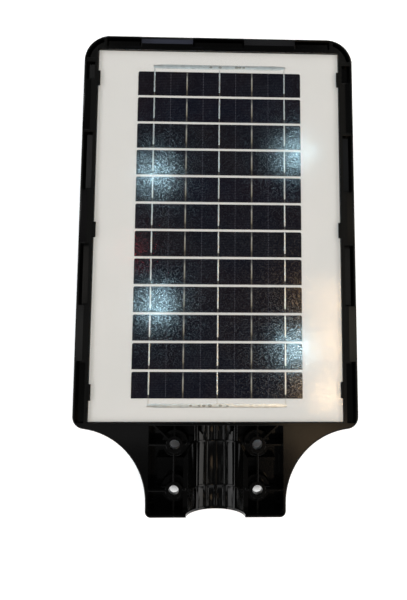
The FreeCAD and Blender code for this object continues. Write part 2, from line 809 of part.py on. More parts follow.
def panel():
    """The laminated panel on its glue bead, with the cell string inside and the junction box below."""
    glue_top = "panel_ledge + glue_depth"
    sheet_top = "panel_ledge + glue_depth + backsheet_depth"
    outer = centred("glue_outer", "panel_width - 1.2", "panel_length - 1.2", "panel_middle",
                    ("panel_ledge", glue_top))
    inner = centred("glue_inner", "panel_width - 6.4", "panel_length - 6.4", "panel_middle",
                    ("panel_ledge - 1", glue_top + " + 1"))
    keep(cut("glue_bead", outer, [inner]), "panel_adhesive")

    owner = body("backsheet_body")
    outline = rectangle_sketch(owner, "backsheet_outline", "panel_width", "panel_length", "panel_middle",
                               size("panel_ledge") + size("glue_depth"))
    pad(owner, outline, "backsheet_pad", "backsheet_depth")
    keep(owner, "panel_backsheet")

    film = centred("film_block", "panel_width", "panel_length", "panel_middle", (sheet_top, "panel_top"))
    room = box("cell_room", ("cell_shift - cell_width / 2 - 3", "cell_shift + cell_width / 2 + 3"),
               ("first_cell_top - cell_rows * cell_pitch - 8", "first_cell_top + 10"),
               (sheet_top + " - 1", sheet_top + " + 0.7"))
    keep(cut("film", film, [room]), "panel_front_film")

    keep(made("cells", cell_strips()), "solar_cells")
    keep(made("ribbons", cell_ribbons()), "cell_ribbons")
    keep(made("buses", bus_ribbons()), "bus_ribbons")

    box_top = size("panel_ledge") + size("glue_depth")
    junction = box("junction", (-20, 20), (178, 200), (box_top - JUNCTION_DEPTH, box_top))
    keep(junction, "panel_junction_box")


def cell_level():
    return size("panel_ledge") + size("glue_depth") + size("backsheet_depth")


def cell_strips():
    """Twelve strips of a full cell; the two corners of each strip's +Y edge are rounded."""
    half = size("cell_width") / 2
    shift = size("cell_shift")
    bend = size("cell_corner")
    strips = []
    for row in range(int(size("cell_rows"))):
        top = size("first_cell_top") - row * size("cell_pitch")
        bottom = top - size("cell_length")
        edges = [
            line((shift - half, bottom), (shift + half, bottom)),
            line((shift + half, bottom), (shift + half, top - bend)),
            corner((shift + half - bend, top - bend), bend, 0, 90),
            line((shift + half - bend, top), (shift - half + bend, top)),
            corner((shift - half + bend, top - bend), bend, 90, 180),
            line((shift - half, top - bend), (shift - half, bottom)),
        ]
        strips.append(prism(edges, cell_level(), cell_level() + size("cell_depth")))
    return Part.makeCompound(strips)


# How much of a strip's length its ribbons cover, from the strip's +Y edge.
RIBBON_SHARE = 0.86


def cell_ribbons():
    """Tinned ribbons on three of the five busbars of every strip."""
    level = cell_level() + size("cell_depth")
    width = size("ribbon_width")
    length = RIBBON_SHARE * size("cell_length")
    solids = []
    for row in range(int(size("cell_rows"))):
        top = size("first_cell_top") - row * size("cell_pitch")
        for column in (-2, 0, 2):
            x = size("cell_shift") + column * size("busbar_pitch") - width / 2
            solids.append(Part.makeBox(width, length, size("ribbon_depth"), Vector(x, top - length, level)))
    return Part.makeCompound(solids)


# Each cross ribbon's near and far edges, counted from the last strip's edge outwards.
HIGH_BUS = (3.2, 7.6)
LOW_BUS = (4.6, 8.4)
BUS_OVERHANG = 1.2


def bus_ribbons():
    """The two cross ribbons that join the string's ends, each on three short leads."""
    level = cell_level()
    depth = size("cell_depth")
    lead = 1.2
    gap = 0.3
    shift = size("cell_shift")
    reach = 2 * size("busbar_pitch")
    top = size("first_cell_top")
    bottom = top - (size("cell_rows") - 1) * size("cell_pitch") - size("cell_length")
    solids = []
    for low, high, near in ((top + HIGH_BUS[0], top + HIGH_BUS[1], top),
                            (bottom - LOW_BUS[1], bottom - LOW_BUS[0], bottom)):
        bar = Part.makeBox(2 * (reach + BUS_OVERHANG), high - low, depth,
                           Vector(shift - reach - BUS_OVERHANG, low, level))
        for column in (-1, 0, 1):
            y0 = min(low, near + gap)
            y1 = max(high, near - gap)
            x = shift + column * reach - lead / 2
            bar = bar.fuse(Part.makeBox(lead, y1 - y0, depth, Vector(x, y0, level)))
        solids.append(bar.removeSplitter())
    return Part.makeCompound(solids)


# -------------------------------------------------------------------------------------------- base cover

COVER_POSTS_LED = [(side * 88.0, y) for side in (-1, 1) for y in (-50.0, 26.5, 103.5, 180.0)]
COVER_POSTS_CARRIER = [(side * 97.0, y) for side in (-1, 1) for y in (-22.0, 70.0, 162.0)]


def base_cover():
    """The plate that closes the underside, with its posts, its seal and its screws."""
    low = size("cover_underside")
    high = low + size("cover_depth")
    gap = size("cover_gap")
    lean = draft(low)
    plate = made("cover_plate", prism(cavity_outline(wall + gap + lean), low, high))
    pieces = [plate]
    for x, y in COVER_POSTS_LED:
        pieces.append(rod("led_post", 3.6, ("cover_underside + 1", "led_board_underside"), x, y))
    for x, y in COVER_POSTS_CARRIER:
        pieces.append(rod("carrier_post", 4.0, ("cover_underside + 1", "carrier_underside"), x, y))
    for x, y in sensor_posts() + button_posts():
        pieces.append(rod("small_post", 2.4, ("cover_underside + 1", "19"), x, y))
    through = ("cover_underside - 1", "cover_underside + cover_depth + 1")
    tools = [centred("window", "window_width", "window_length", "window_middle", through)]
    for x, y in cover_screw_places():
        tools.append(rod("screw_hole", 1.8, through, x, y))
    for x, y in COVER_POSTS_LED:
        tools.append(rod("led_post_hole", 1.55, ("cover_underside - 1", "led_board_underside + 1"), x, y))
    for x, y in COVER_POSTS_CARRIER:
        blind = ("carrier_underside - 8", "carrier_underside + 1")
        tools.append(rod("carrier_post_hole", 1.55, blind, x, y))
    for x, y in sensor_posts() + button_posts():
        tools.append(rod("small_post_hole", 1.05, ("13", "20"), x, y))
    row = "control_row"
    tools.append(rod("dome_hole", "dome_radius + 0.3", through, "0", row))
    tools.append(rod("button_hole", "8.2", through, "button_place", row))
    tools.append(rod("light_hole", "2.6", through, "-button_place", row))
    keep(cut("cover", fuse("cover_built", pieces), tools), "base_cover")

    ring = prism(cavity_outline(wall + gap + 0.2 + lean), high, high + 0.5)
    ring = ring.cut(prism(cavity_outline(wall + 3.4 + lean), high - 1, high + 1))
    keep(made("seal_ring", ring), "base_gasket")
    keep(made("cover_fixings", screws(cover_screw_places(), low, 3.0, 2.0, 1.5, 11.0)), "base_screws")


def sensor_posts():
    return [(side * 15.0, size("control_row") + 13.0) for side in (-1, 1)]


def button_posts():
    return [(size("button_place") + side * 13.0, size("control_row")) for side in (-1, 1)]


# ------------------------------------------------------------------------------------------------ optics

LENS_WALL = 2.2


def optics():
    """The clear lens cover with its seal and screws, the reflector, and the two lamp boards."""
    seat = size("cover_underside") - size("lens_gasket_depth")
    lens = body("lens_body")
    flange = rectangle_sketch(lens, "lens_flange", "lens_width", "lens_length", "window_middle", seat)
    pad(lens, flange, "lens_flange_pad", "lens_depth", reverse=True)
    face = sketch_on(lens, "XY_Plane", "lens_face", seat - size("lens_depth"))
    half_x = size("window_width") / 2 - 2.0
    half_y = size("window_length") / 2 - 2.0
    middle = size("window_middle")
    chain(face, rounded(-half_x, half_x, middle - half_y, middle + half_y, 6, 6))
    pad(lens, face, "lens_face_pad", "lens_depth", reverse=True)
    doc.recompute()
    hollow = sketch_on(lens, "XY_Plane", "lens_hollow", seat)
    inner_x = half_x - LENS_WALL
    inner_y = half_y - LENS_WALL
    chain(hollow, rounded(-inner_x, inner_x, middle - inner_y, middle + inner_y, 4, 4))
    pocket(lens, hollow, "lens_pocket", "lens_depth")
    doc.recompute()
    tools = [rod("lens_hole", 1.7, ("0", "cover_underside"), x, y) for x, y in COVER_POSTS_LED]
    keep(cut("lens", lens, tools), "lens_cover")

    outer = centred("lens_seal_outer", "lens_width - 1", "lens_length - 1", "window_middle",
                    ("cover_underside - lens_gasket_depth", "cover_underside"))
    inner = centred("lens_seal_inner", "window_width + 1", "window_length + 1", "window_middle",
                    ("cover_underside - 2", "cover_underside + 1"))
    holes = [rod("lens_seal_hole", 1.8, ("cover_underside - 2", "cover_underside + 1"), x, y)
             for x, y in COVER_POSTS_LED]
    keep(cut("lens_seal", outer, [inner] + holes), "lens_gasket")
    keep(made("lens_fixings", screws(COVER_POSTS_LED, seat - size("lens_depth"), 2.8, 1.8, 1.5, 9.2)),
         "lens_screws")

    keep(reflector(), "reflector")
    for side, label in ((-1, "led_board_left"), (1, "led_board_right")):
        x = sorted((side * 1.0, side * 92.0))
        y = ("window_middle - lens_length / 2", "window_middle + lens_length / 2")
        board = box(label + "_block", x, y,
                    ("led_board_underside", "led_board_underside + led_board_depth"))
        holes = [rod("board_hole", 1.7, ("led_board_underside - 1", "led_board_underside + 3"), px, py)
                 for px, py in COVER_POSTS_LED if px * side > 0]
        keep(cut(label + "_plate", board, holes), label)
    keep(made("chips", led_chips()), "led_chips")
    top = size("led_board_underside") + size("led_board_depth")
    keep(made("board_fixings", screws(COVER_POSTS_LED, top, 2.8, 1.8, 1.5, 3.0, upward=False)),
         "led_board_screws")


# The reflector's cups: their middles, half sizes at the lens and at the boards, and the lamps in each.
CUP_CENTRES = [(x, y) for x in (-41.0, 41.0) for y in (-52.0, 52.0)]
CUP_MOUTH = (38.5, 49.5)
CUP_FLOOR = (31.0, 42.0)
CHIP = (3.5, 2.8)
CHIP_COLUMNS, CHIP_COLUMN_PITCH = 4, 15.0
CHIP_ROWS, CHIP_ROW_PITCH = 6, 13.5


def reflector():
    """A tray with four cups that flare from the lamp boards down to the lens."""
    low = size("cover_underside") + 0.2
    high = size("led_board_underside") - 0.1
    middle = size("window_middle")
    owner = body("reflector_body")
    outline = sketch_on(owner, "XY_Plane", "reflector_outline", low)
    half_x = size("window_width") / 2 - 1.5
    half_y = size("window_length") / 2 - 1.5
    chain(outline, rounded(-half_x, half_x, middle - half_y, middle + half_y, 5, 5))
    pad(owner, outline, "reflector_pad", "led_board_underside - cover_underside - 0.3")
    for number, (x, y) in enumerate(CUP_CENTRES):
        for label, half, level in (("wide", CUP_MOUTH, low - 0.01), ("slim", CUP_FLOOR, high + 0.01)):
            corners = [(x + sx * half[0], middle + y + sy * half[1])
                       for sx, sy in ((-1, -1), (1, -1), (1, 1), (-1, 1))]
            sketch = sketch_on(owner, "XY_Plane", "cup_%s_%d" % (label, number), level)
            chain(sketch, [line(corners[i], corners[(i + 1) % 4]) for i in range(4)])
        cup = owner.newObject("PartDesign::SubtractiveLoft", "cup_%d" % number)
        cup.Profile = doc.getObject("cup_wide_%d" % number)
        cup.Sections = [doc.getObject("cup_slim_%d" % number)]
        doc.recompute()
    return owner


def led_chips():
    """Rows of surface-mount emitters inside each cup."""
    solids = []
    low = size("led_board_underside") - size("chip_depth")
    for x, y in CUP_CENTRES:
        for column in range(CHIP_COLUMNS):
            for row in range(CHIP_ROWS):
                cx = x + (column - (CHIP_COLUMNS - 1) / 2) * CHIP_COLUMN_PITCH
                cy = size("window_middle") + y + (row - (CHIP_ROWS - 1) / 2) * CHIP_ROW_PITCH
                start = Vector(cx - CHIP[0] / 2, cy - CHIP[1] / 2, low)
                solids.append(Part.makeBox(CHIP[0], CHIP[1], size("chip_depth"), start))
    return Part.makeCompound(solids)


# ------------------------------------------------------------------------------------ carrier and battery

def carrier():
    """The plate above the lamp boards that carries the battery and, on four stands, the controller."""
    top = "carrier_underside + carrier_depth"
    plate = centred("carrier_block", "carrier_width", "carrier_length", "carrier_middle",
                    ("carrier_underside", top))
    slot = box("wire_slot", (-6, 6), (58, 70), ("carrier_underside - 1", top + " + 1"))
    holes = [rod("carrier_hole", 1.7, ("carrier_underside - 1", top + " + 1"), x, y)
             for x, y in COVER_POSTS_CARRIER]
    holes += [rod("strap_hole", 1.55, ("carrier_underside - 1", top + " + 1"), x, y)
              for x, y in STRAP_FEET]
    stands = []
    for x, y in controller_posts():
        stand = rod("stand", 2.6, (top + " - 0.5", "controller_underside"), x, y)
        hole = rod("stand_hole", 1.05, (top + " + 0.5", "controller_underside + 1"), x, y)
        stands.append(cut("stand_bored", stand, [hole]))
    cleared = cut("carrier_cut", plate, [slot] + holes)
    keep(fuse("carrier", [cleared] + stands), "carrier_plate")
    seat = size("carrier_underside") + size("carrier_depth")
    keep(made("carrier_fixings", screws(COVER_POSTS_CARRIER, seat, 2.8, 1.8, 1.5, 7.0, upward=False)),
         "carrier_screws")


def controller_posts():
    half_x = size("controller_width") / 2 - 4
    half_y = size("controller_length") / 2 - 4
    return [(sx * half_x, size("controller_middle") + sy * half_y) for sx in (-1, 1) for sy in (-1, 1)]


CAN_PITCH = 19.0
CAN_COLUMNS = (-2.5, -1.5, -0.5, 0.5, 1.5, 2.5)
TAB_WIDTH = 8.0
TAB_DEPTH = 0.2
STRAP_FEET = ((-67.0, 120.0), (67.0, 120.0))
STRAP_DEPTH = 0.8
STRAP_WIDTH = 14.0
STRAP_FOOT = 12.0


def battery():
    """Six round cells side by side in a cradle, with their tabs, the strap over them and its screws."""
    along = Vector(0, 1, 0)
    radius = size("cell_can_radius")
    length = size("cell_can_length")
    middle = size("battery_middle")
    seat = size("carrier_underside") + size("carrier_depth")
    axis = seat + 0.8 + radius
    start = middle - length / 2
    cans = []
    for column in CAN_COLUMNS:
        can = Part.makeCylinder(radius, length, Vector(column * CAN_PITCH, start, axis), along)
        rims = [edge for edge in can.Edges if edge.Curve.TypeId == "Part::GeomCircle"]
        cans.append(can.makeChamfer(0.6, rims))
    keep(made("cans", Part.makeCompound(cans)), "battery_cells")

    cradle = Part.makeBox(6 * CAN_PITCH + 4, length - 6, radius,
                          Vector(-3 * CAN_PITCH - 2, start + 3, seat))
    for column in CAN_COLUMNS:
        bed_start = Vector(column * CAN_PITCH, start, axis)
        cradle = cradle.cut(Part.makeCylinder(radius + 0.1, length, bed_start, along))
    keep(made("cradle", cradle), "battery_cradle")

    strips = []
    for end, ends in ((start - 2 * TAB_DEPTH, (0, 2, 4)), (start + length + TAB_DEPTH, (-1, 1, 3, 5))):
        for first in ends:
            columns = [c for c in (first, first + 1) if 0 <= c <= 5]
            x0 = CAN_COLUMNS[columns[0]] * CAN_PITCH - TAB_WIDTH / 2
            x1 = CAN_COLUMNS[columns[-1]] * CAN_PITCH + TAB_WIDTH / 2
            strips.append(Part.makeBox(x1 - x0, TAB_DEPTH, TAB_WIDTH, Vector(x0, end, axis - TAB_WIDTH / 2)))
    keep(made("tabs", Part.makeCompound(strips)), "battery_tabs")

    top = axis + radius + 0.1
    half = 3 * CAN_PITCH + 3
    sheet = STRAP_DEPTH
    band = STRAP_WIDTH
    y0 = middle - band / 2
    strap = Part.makeBox(2 * (half + sheet), band, sheet, Vector(-half - sheet, y0, top))
    for x_leg, x_foot in ((-half - sheet, -half - STRAP_FOOT), (half, half)):
        strap = strap.fuse(Part.makeBox(sheet, band, top - seat, Vector(x_leg, y0, seat)))
        strap = strap.fuse(Part.makeBox(STRAP_FOOT, band, sheet, Vector(x_foot, y0, seat)))
    for x, y in STRAP_FEET:
        strap = strap.cut(Part.makeCylinder(1.7, 3, Vector(x, y, seat - 1)))
    keep(made("strap", strap.removeSplitter()), "battery_strap")
    keep(made("strap_fixings", screws(STRAP_FEET, seat + sheet, 2.6, 1.6, 1.5, 2.2, upward=False)),
         "battery_strap_screws")


# -------------------------------------------------------------------------------------------- controller

# Packages on the controller: place across, place along from its middle, and outer size.
CHIPS = ((24, -4, 10, 9, 2.4), (24, -18, 10, 9, 2.4), (-22, -14, 10, 10, 1.6), (2, -6, 5, 6, 1.5))


def controller():
    """The charge controller's board with its coil, capacitors, chips, sockets, plugs and screws."""
    low = size("controller_underside")
    top = low + size("board_depth")
    middle = size("controller_middle")
    board = centred("controller_block", "controller_width", "controller_length", "controller_middle",
                    ("controller_underside", "controller_underside + board_depth"))
    holes = [rod("controller_hole", 1.2, ("controller_underside - 1", "controller_underside + 3"), x, y)
             for x, y in controller_posts()]
    keep(cut("controller", board, holes), "controller_board")
    keep(made("controller_fixings", screws(controller_posts(), top, 2.0, 1.4, 1.0, 4.6, upward=False)),
         "controller_screws")

    core = Part.makeTorus(6.5, 2.6, Vector(-18, middle + 8, top + 2.7), Vector(0, 0, 1))
    keep(made("choke", core), "power_choke")
    cans = [Part.makeCylinder(4.0, 11.0, Vector(x, middle + 14, top)) for x in (6, 17)]
    keep(made("capacitor_cans", Part.makeCompound(cans)), "capacitors")
    chips = []
    for x, y, wide, deep, tall in CHIPS:
        chips.append(Part.makeBox(wide, deep, tall, Vector(x - wide / 2, middle + y - deep / 2, top)))
    keep(made("packages", Part.makeCompound(chips)), "controller_chips")
    sockets = [socket_shape(x, y) for x, y in SOCKETS]
    keep(made("sockets", Part.makeCompound(sockets)), "controller_sockets")
    plugs = [plug_shape(x, y) for x, y in SOCKETS]
    keep(made("plugs", Part.makeCompound(plugs)), "wire_plugs")


# Where the wire-to-board sockets stand on the controller.
SOCKETS = ((-30.0, 44.5), (-10.0, 44.5), (30.0, 44.5), (-14.0, -4.5), (14.0, -4.5))


def socket_top():
    return size("controller_underside") + size("board_depth")


def socket_shape(x, y):
    block = Part.makeBox(9, 5.6, 6, Vector(x - 4.5, y - 2.8, socket_top()))
    return block.cut(Part.makeBox(7, 3.6, 5, Vector(x - 3.5, y - 1.8, socket_top() + 1.2)))


def plug_shape(x, y):
    return Part.makeBox(6.6, 3.2, 6.4, Vector(x - 3.3, y - 1.6, socket_top() + 1.3))


# ------------------------------------------------------------------------------------ sensor and controls

def dome():
    """The thin-walled sensor window: a flanged cup with a rounded end, hanging through the cover."""
    radius = size("dome_radius")
    skin = 0.9
    flange_low = size("cover_underside") + size("cover_depth")
    flange_high = flange_low + 1.2
    tip = size("dome_tip")
    spring = tip + 6.2
    outline = [(radius + 3.0, flange_high), (radius - skin, flange_high)]
    steps = 8
    for step in range(steps + 1):
        angle = math.radians(90.0 * step / steps)
        height = spring - (spring - tip - skin) * math.sin(angle)
        outline.append(((radius - skin) * math.cos(angle), height))
    for step in range(steps, -1, -1):
        angle = math.radians(90.0 * step / steps)
        outline.append((radius * math.cos(angle), spring - (spring - tip) * math.sin(angle)))
    outline += [(radius, flange_low), (radius + 3.0, flange_low)]
    return outline


def sensor():
    """The motion sensor behind its dome, its board, and the status light's pipe."""
    row = size("control_row")
    cup = turned("dome_body", dome())
    cup.Placement = Placement(Vector(0, row, 0), Rotation())
    keep(cup, "sensor_dome")
    can = Part.makeCylinder(4.6, 4.2, Vector(0, row, 14.8))
    can = can.fuse(Part.makeCylinder(5.0, 0.6, Vector(0, row, 18.4)))
    window = Part.makeBox(4, 3, 1, Vector(-2, row - 1.5, 14.5))
    keep(made("sensor_can", can.removeSplitter().cut(window)), "motion_sensor")
    board = box("sensor_board_block", (-18, 18), ("control_row - 8", "control_row + 17"), (19, 20.2))
    holes = [rod("sensor_board_hole", 1.2, (18, 21), x, y) for x, y in sensor_posts()]
    keep(cut("sensor_board_plate", board, holes), "sensor_board")
    pipe = turned("light_pipe", [(0, 6.6), (2.4, 6.6), (2.4, 10.5), (3.8, 10.5), (3.8, 11.7), (0, 11.7)])
    pipe.Placement = Placement(Vector(-size("button_place"), row, 0), Rotation())
    keep(pipe, "status_light_pipe")


def coil(foot, radius, height, turns, wire_radius=0.3):
    """A plain coil spring about the vertical through foot, swept along a quarter-turn arc at a time."""
    quarters = 4 * turns

    def on_helix(step):
        angle = math.pi / 2 * step
        rise = height * step / quarters
        return foot + Vector(radius * math.cos(angle), radius * math.sin(angle), rise)

    arcs = [Part.Arc(on_helix(step), on_helix(step + 0.5), on_helix(step + 1)).toShape()
            for step in range(quarters)]
    heading = arcs[0].tangentAt(arcs[0].FirstParameter)
    ring = Part.Wire(Part.Circle(on_helix(0), heading, wire_radius).toShape())
    return Part.Wire(arcs).makePipeShell([ring], True, False)


def button():
    """The push button in its bezel, its return spring, the plunger, the switch and their board."""
    row = size("control_row")
    x = size("button_place")
    radius = size("button_radius")
    spot = Placement(Vector(x, row, 0), Rotation())
    bezel = turned("bezel_body", [(radius + 0.3, 6.0), (9.6, 6.0), (10.4, 6.8), (10.4, 8.0), (8.0, 8.0),
                                  (8.0, 10.7), (radius + 0.3, 10.7)])
    bezel.Placement = spot
    keep(bezel, "button_bezel")
    cap = turned("cap_body", [(0, 4.4), (radius - 0.8, 4.4), (radius, 5.2), (radius, 11.0), (7.4, 11.0),
                              (7.4, 12.0), (2.2, 12.0), (2.2, 15.3), (0, 15.3)])
    cap.Placement = spot
    keep(cap, "button_cap")
    plunger = made("plunger_rod", Part.makeCylinder(1.7, 2.4, Vector(x, row, 15.3)))
    keep(plunger, "switch_plunger")
    switch = Part.makeBox(6.2, 6.2, 1.6, Vector(x - 3.1, row - 3.1, 17.4))
    switch = switch.cut(Part.makeCylinder(1.9, 3, Vector(x, row, 17.0)))
    keep(made("switch_box", switch), "button_switch")
    board = box("button_board_block", (x - 17, x + 17), ("control_row - 8", "control_row + 8"), (19, 20.2))
    tools = [rod("button_board_hole", 1.2, (18, 21), px, py) for px, py in button_posts()]
    tools.append(rod("plunger_relief", 1.9, (18, 21), x, row))
    keep(cut("button_board_plate", board, tools), "button_board")
    keep(made("return_coil", coil(Vector(x, row, 12.45), 3.3, 4.5, 3)), "button_spring")
    places = sensor_posts() + button_posts()
    keep(made("board_fixings_small", screws(places, 20.2, 2.0, 1.4, 1.0, 4.0, upward=False)),
         "sensor_and_button_screws")


# ----------------------------------------------------------------------------------------- inside wiring

def leads(label, run_offsets, route, radius=0.6, end_x=None):
    """Parallel insulated leads along one route. An offset's height counts only between the two ends,
    and end_x holds every lead's far end at one place across."""
    tubes = []
    for dx, dy, dz in run_offsets:
        last = len(route) - 1
        points = []
        for index, (x, y, z) in enumerate(route):
            points.append([x + dx, y + dy, z + (dz if 0 < index < last else 0)])
        if end_x is not None:
            points[last][0] = end_x
        tubes.append(wire(points, radius))
    keep(made(label + "_run", Part.makeCompound(tubes)), label)


def wiring():
    """Leads from the controller's plugs to the panel, the battery, the lamp boards, sensor and button."""
    out = socket_top() + 7.7
    over = out + 3.7
    pair = ((-1.2, -0.8, 0.9), (1.2, 0.8, -0.9))
    leads("panel_wires", pair,
          [(-10, 44.5, out), (-10, 44.5, over), (-26, 58, over), (-56, 68, over - 0.5), (-79, 84, over - 1),
           (-80, 122, over - 1), (-78, 158, over), (-62, 180, over + 1.5), (-38, 189, 43), (-20, 189, 43)],
          end_x=-20.1)
    leads("battery_wires", ((-1.2, 0, 0), (1.2, 0, 0)),
          [(-30, 44.5, out), (-30, 44.5, over), (-33, 57, over - 2), (-36, 69, 35.5), (-38, 79, 33.9),
           (-38, 86.9, 33.5)])
    led_tubes = []
    for number, slot_x in enumerate((-4.5, -2.3, 2.3, 4.5)):
        lane = number - 1.5
        start_x = 30 + 1.7 * lane
        route = [(start_x, 44.5, out), (start_x, 44.5, over), (22 + 1.9 * lane, 53, over),
                 (9 + 2.2 * lane, 61, 35), (slot_x, 64, 27), (slot_x, 64.6, 18.7)]
        led_tubes.append(wire(route, 0.6))
    keep(made("lamp_leads", Part.makeCompound(led_tubes)), "led_wires")
    leads("sensor_wires", ((-1.8, 0, 0), (0, 0, 0), (1.8, 0, 0)),
          [(-14, -4.5, out), (-14, -4.5, over), (-12, -20, over - 1), (-9, -42, 34), (-7, -62, 28.5),
           (-6, -79, 25), (-6, -95, 24.4), (-6, -95, 20.3)])
    leads("button_wires", ((-1.2, 0, 0), (1.2, 0, 0)),
          [(14, -4.5, out), (14, -4.5, over), (18, -20, over - 1), (26, -42, 34), (33, -62, 28.5),
           (38, -79, 25), (39, -95, 24.4), (39, -95, 20.3)])


housing()
panel()
base_cover()
optics()
carrier()
battery()
controller()
sensor()
button()
wiring()
doc.recompute()

for thing in doc.Objects:
    if "Invalid" in thing.State or "Error" in thing.State:
        raise ValueError("%s (%s) is not made: %s" % (thing.Name, thing.Label, thing.State))
os.makedirs("parts", exist_ok=True)
for thing in parts:
    shape = thing.Shape
    if shape.isNull() or not shape.isValid() or not shape.Solids:
        raise ValueError("%s has no valid solid" % thing.Label)
    shape.exportStep("parts/%s.step" % thing.Label)
    frame = shape.BoundBox
    print("%-26s %3d solids %10.1f mm3  x %7.1f %7.1f  y %7.1f %7.1f  z %6.2f %6.2f" % (
        thing.Label, len(shape.Solids), shape.Volume, frame.XMin, frame.XMax, frame.YMin, frame.YMax,
        frame.ZMin, frame.ZMax))
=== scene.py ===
import math
import random

import bmesh
import bpy
from mathutils import Euler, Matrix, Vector


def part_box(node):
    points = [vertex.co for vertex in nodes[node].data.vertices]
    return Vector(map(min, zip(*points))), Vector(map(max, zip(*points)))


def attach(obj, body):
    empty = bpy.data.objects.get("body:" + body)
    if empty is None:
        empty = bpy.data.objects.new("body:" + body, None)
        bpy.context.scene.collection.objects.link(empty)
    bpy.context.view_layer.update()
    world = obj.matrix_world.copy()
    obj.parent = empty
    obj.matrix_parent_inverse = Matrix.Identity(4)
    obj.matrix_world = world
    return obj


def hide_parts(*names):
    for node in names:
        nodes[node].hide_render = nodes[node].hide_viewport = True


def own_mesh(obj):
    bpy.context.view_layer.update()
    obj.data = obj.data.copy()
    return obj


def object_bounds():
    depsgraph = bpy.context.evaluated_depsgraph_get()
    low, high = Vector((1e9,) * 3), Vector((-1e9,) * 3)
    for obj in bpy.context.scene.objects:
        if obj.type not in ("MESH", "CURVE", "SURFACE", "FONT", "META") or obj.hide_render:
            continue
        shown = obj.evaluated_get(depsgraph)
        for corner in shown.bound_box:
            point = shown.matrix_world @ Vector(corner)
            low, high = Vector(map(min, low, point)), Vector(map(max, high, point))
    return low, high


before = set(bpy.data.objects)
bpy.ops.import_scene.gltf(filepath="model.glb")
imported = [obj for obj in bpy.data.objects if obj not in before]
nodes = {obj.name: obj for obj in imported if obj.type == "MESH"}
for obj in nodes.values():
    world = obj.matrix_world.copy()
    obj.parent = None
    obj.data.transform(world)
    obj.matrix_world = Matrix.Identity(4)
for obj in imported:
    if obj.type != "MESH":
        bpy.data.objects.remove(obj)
cad_low, cad_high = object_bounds()

# Metres, in the CAD's frame: +Z up through the solar panel, +Y from the pole neck to the head's free end.
MM = 0.001

# Every random choice is drawn from here, in a fixed order, so each run makes the same meshes.
draw = random.Random(5)

# ----------------------------------------------------------------------------------------- node helpers

NOISE_ROUGHNESS = 0.55
MAP_SOCKETS = ("From Min", "From Max", "To Min", "To Max")
# The Mix node's factor, A and B, and its result, for colours.
MIX_COLOUR_SOCKETS = (0, 6, 7)
MIX_COLOUR_RESULT = 2


class Finish:
    """One node-based material. Textures are placed in the object's own metres."""

    def __init__(self, name):
        self.material = bpy.data.materials.new(name)
        self.material.use_nodes = True
        self.tree = self.material.node_tree
        self.shader = self.tree.nodes["Principled BSDF"]
        self.place = self.tree.nodes.new("ShaderNodeTexCoord").outputs["Object"]

    def node(self, kind, **settings):
        made = self.tree.nodes.new(kind)
        for key, value in settings.items():
            setattr(made, key, value)
        return made

    def link(self, source, target):
        self.tree.links.new(source, target)

    def set(self, **values):
        """Sets constants on the shader's sockets; _ stands for a space in a socket's name."""
        for key, value in values.items():
            socket = self.shader.inputs[key.replace("_", " ")]
            socket.default_value = (*value, 1.0) if isinstance(value, tuple) else value

    def feed(self, source, socket):
        """Links a node's output to one of the shader's sockets."""
        self.link(source, self.shader.inputs[socket])

    def scaled_place(self, x, y, z):
        mapping = self.node("ShaderNodeMapping")
        mapping.inputs["Scale"].default_value = (x, y, z)
        self.link(self.place, mapping.inputs["Vector"])
        return mapping.outputs["Vector"]

    def noise(self, size, detail=3.0, place=None):
        made = self.node("ShaderNodeTexNoise")
        made.inputs["Scale"].default_value = 1.0 / size
        made.inputs["Detail"].default_value = detail
        made.inputs["Roughness"].default_value = NOISE_ROUGHNESS
        self.link(place or self.place, made.inputs["Vector"])
        return made.outputs["Fac"]

    def cells(self, size):
        """Separated red, green and blue of a random colour for each small cell."""
        made = self.node("ShaderNodeTexVoronoi", feature="F1")
        made.inputs["Scale"].default_value = 1.0 / size
        self.link(self.place, made.inputs["Vector"])
        split = self.node("ShaderNodeSeparateColor")
        self.link(made.outputs["Color"], split.inputs[0])
        return split.outputs

    def math(self, operation, a, b=None, c=None):
        made = self.node("ShaderNodeMath", operation=operation)
        for index, value in enumerate((a, b, c)):
            if value is None:
                continue
            if isinstance(value, (int, float)):
                made.inputs[index].default_value = value
            else:
                self.link(value, made.inputs[index])
        return made.outputs[0]

    def spread(self, source, low, high, out_low=0.0, out_high=1.0):
        """Maps low..high to out_low..out_high and clamps outside it."""
        made = self.node("ShaderNodeMapRange")
        for name, value in zip(MAP_SOCKETS, (low, high, out_low, out_high)):
            made.inputs[name].default_value = value
        self.link(source, made.inputs["Value"])
        return made.outputs["Result"]

    def mix(self, share, first, second):
        """A colour that goes from first to second with share."""
        made = self.node("ShaderNodeMix", data_type="RGBA")
        for index, value in zip(MIX_COLOUR_SOCKETS, (share, first, second)):
            if isinstance(value, tuple):
                made.inputs[index].default_value = (*value, 1.0)
            elif isinstance(value, (int, float)):
                made.inputs[index].default_value = value
            else:
                self.link(value, made.inputs[index])
        return made.outputs[MIX_COLOUR_RESULT]

    def axis(self, name):
        """The X, Y or Z of the place on the object."""
        made = self.node("ShaderNodeSeparateXYZ")
        self.link(self.place, made.inputs[0])
        return made.outputs[name]

    def bump(self, source, depth, under=None):
        """A normal tilted by a relief of that depth, on top of the normal given as under."""
        made = self.node("ShaderNodeBump")
        made.inputs["Distance"].default_value = depth
        made.inputs["Strength"].default_value = 1.0
        self.link(source, made.inputs["Height"])
        if under is not None:
            self.link(under, made.inputs["Normal"])
        return made.outputs["Normal"]


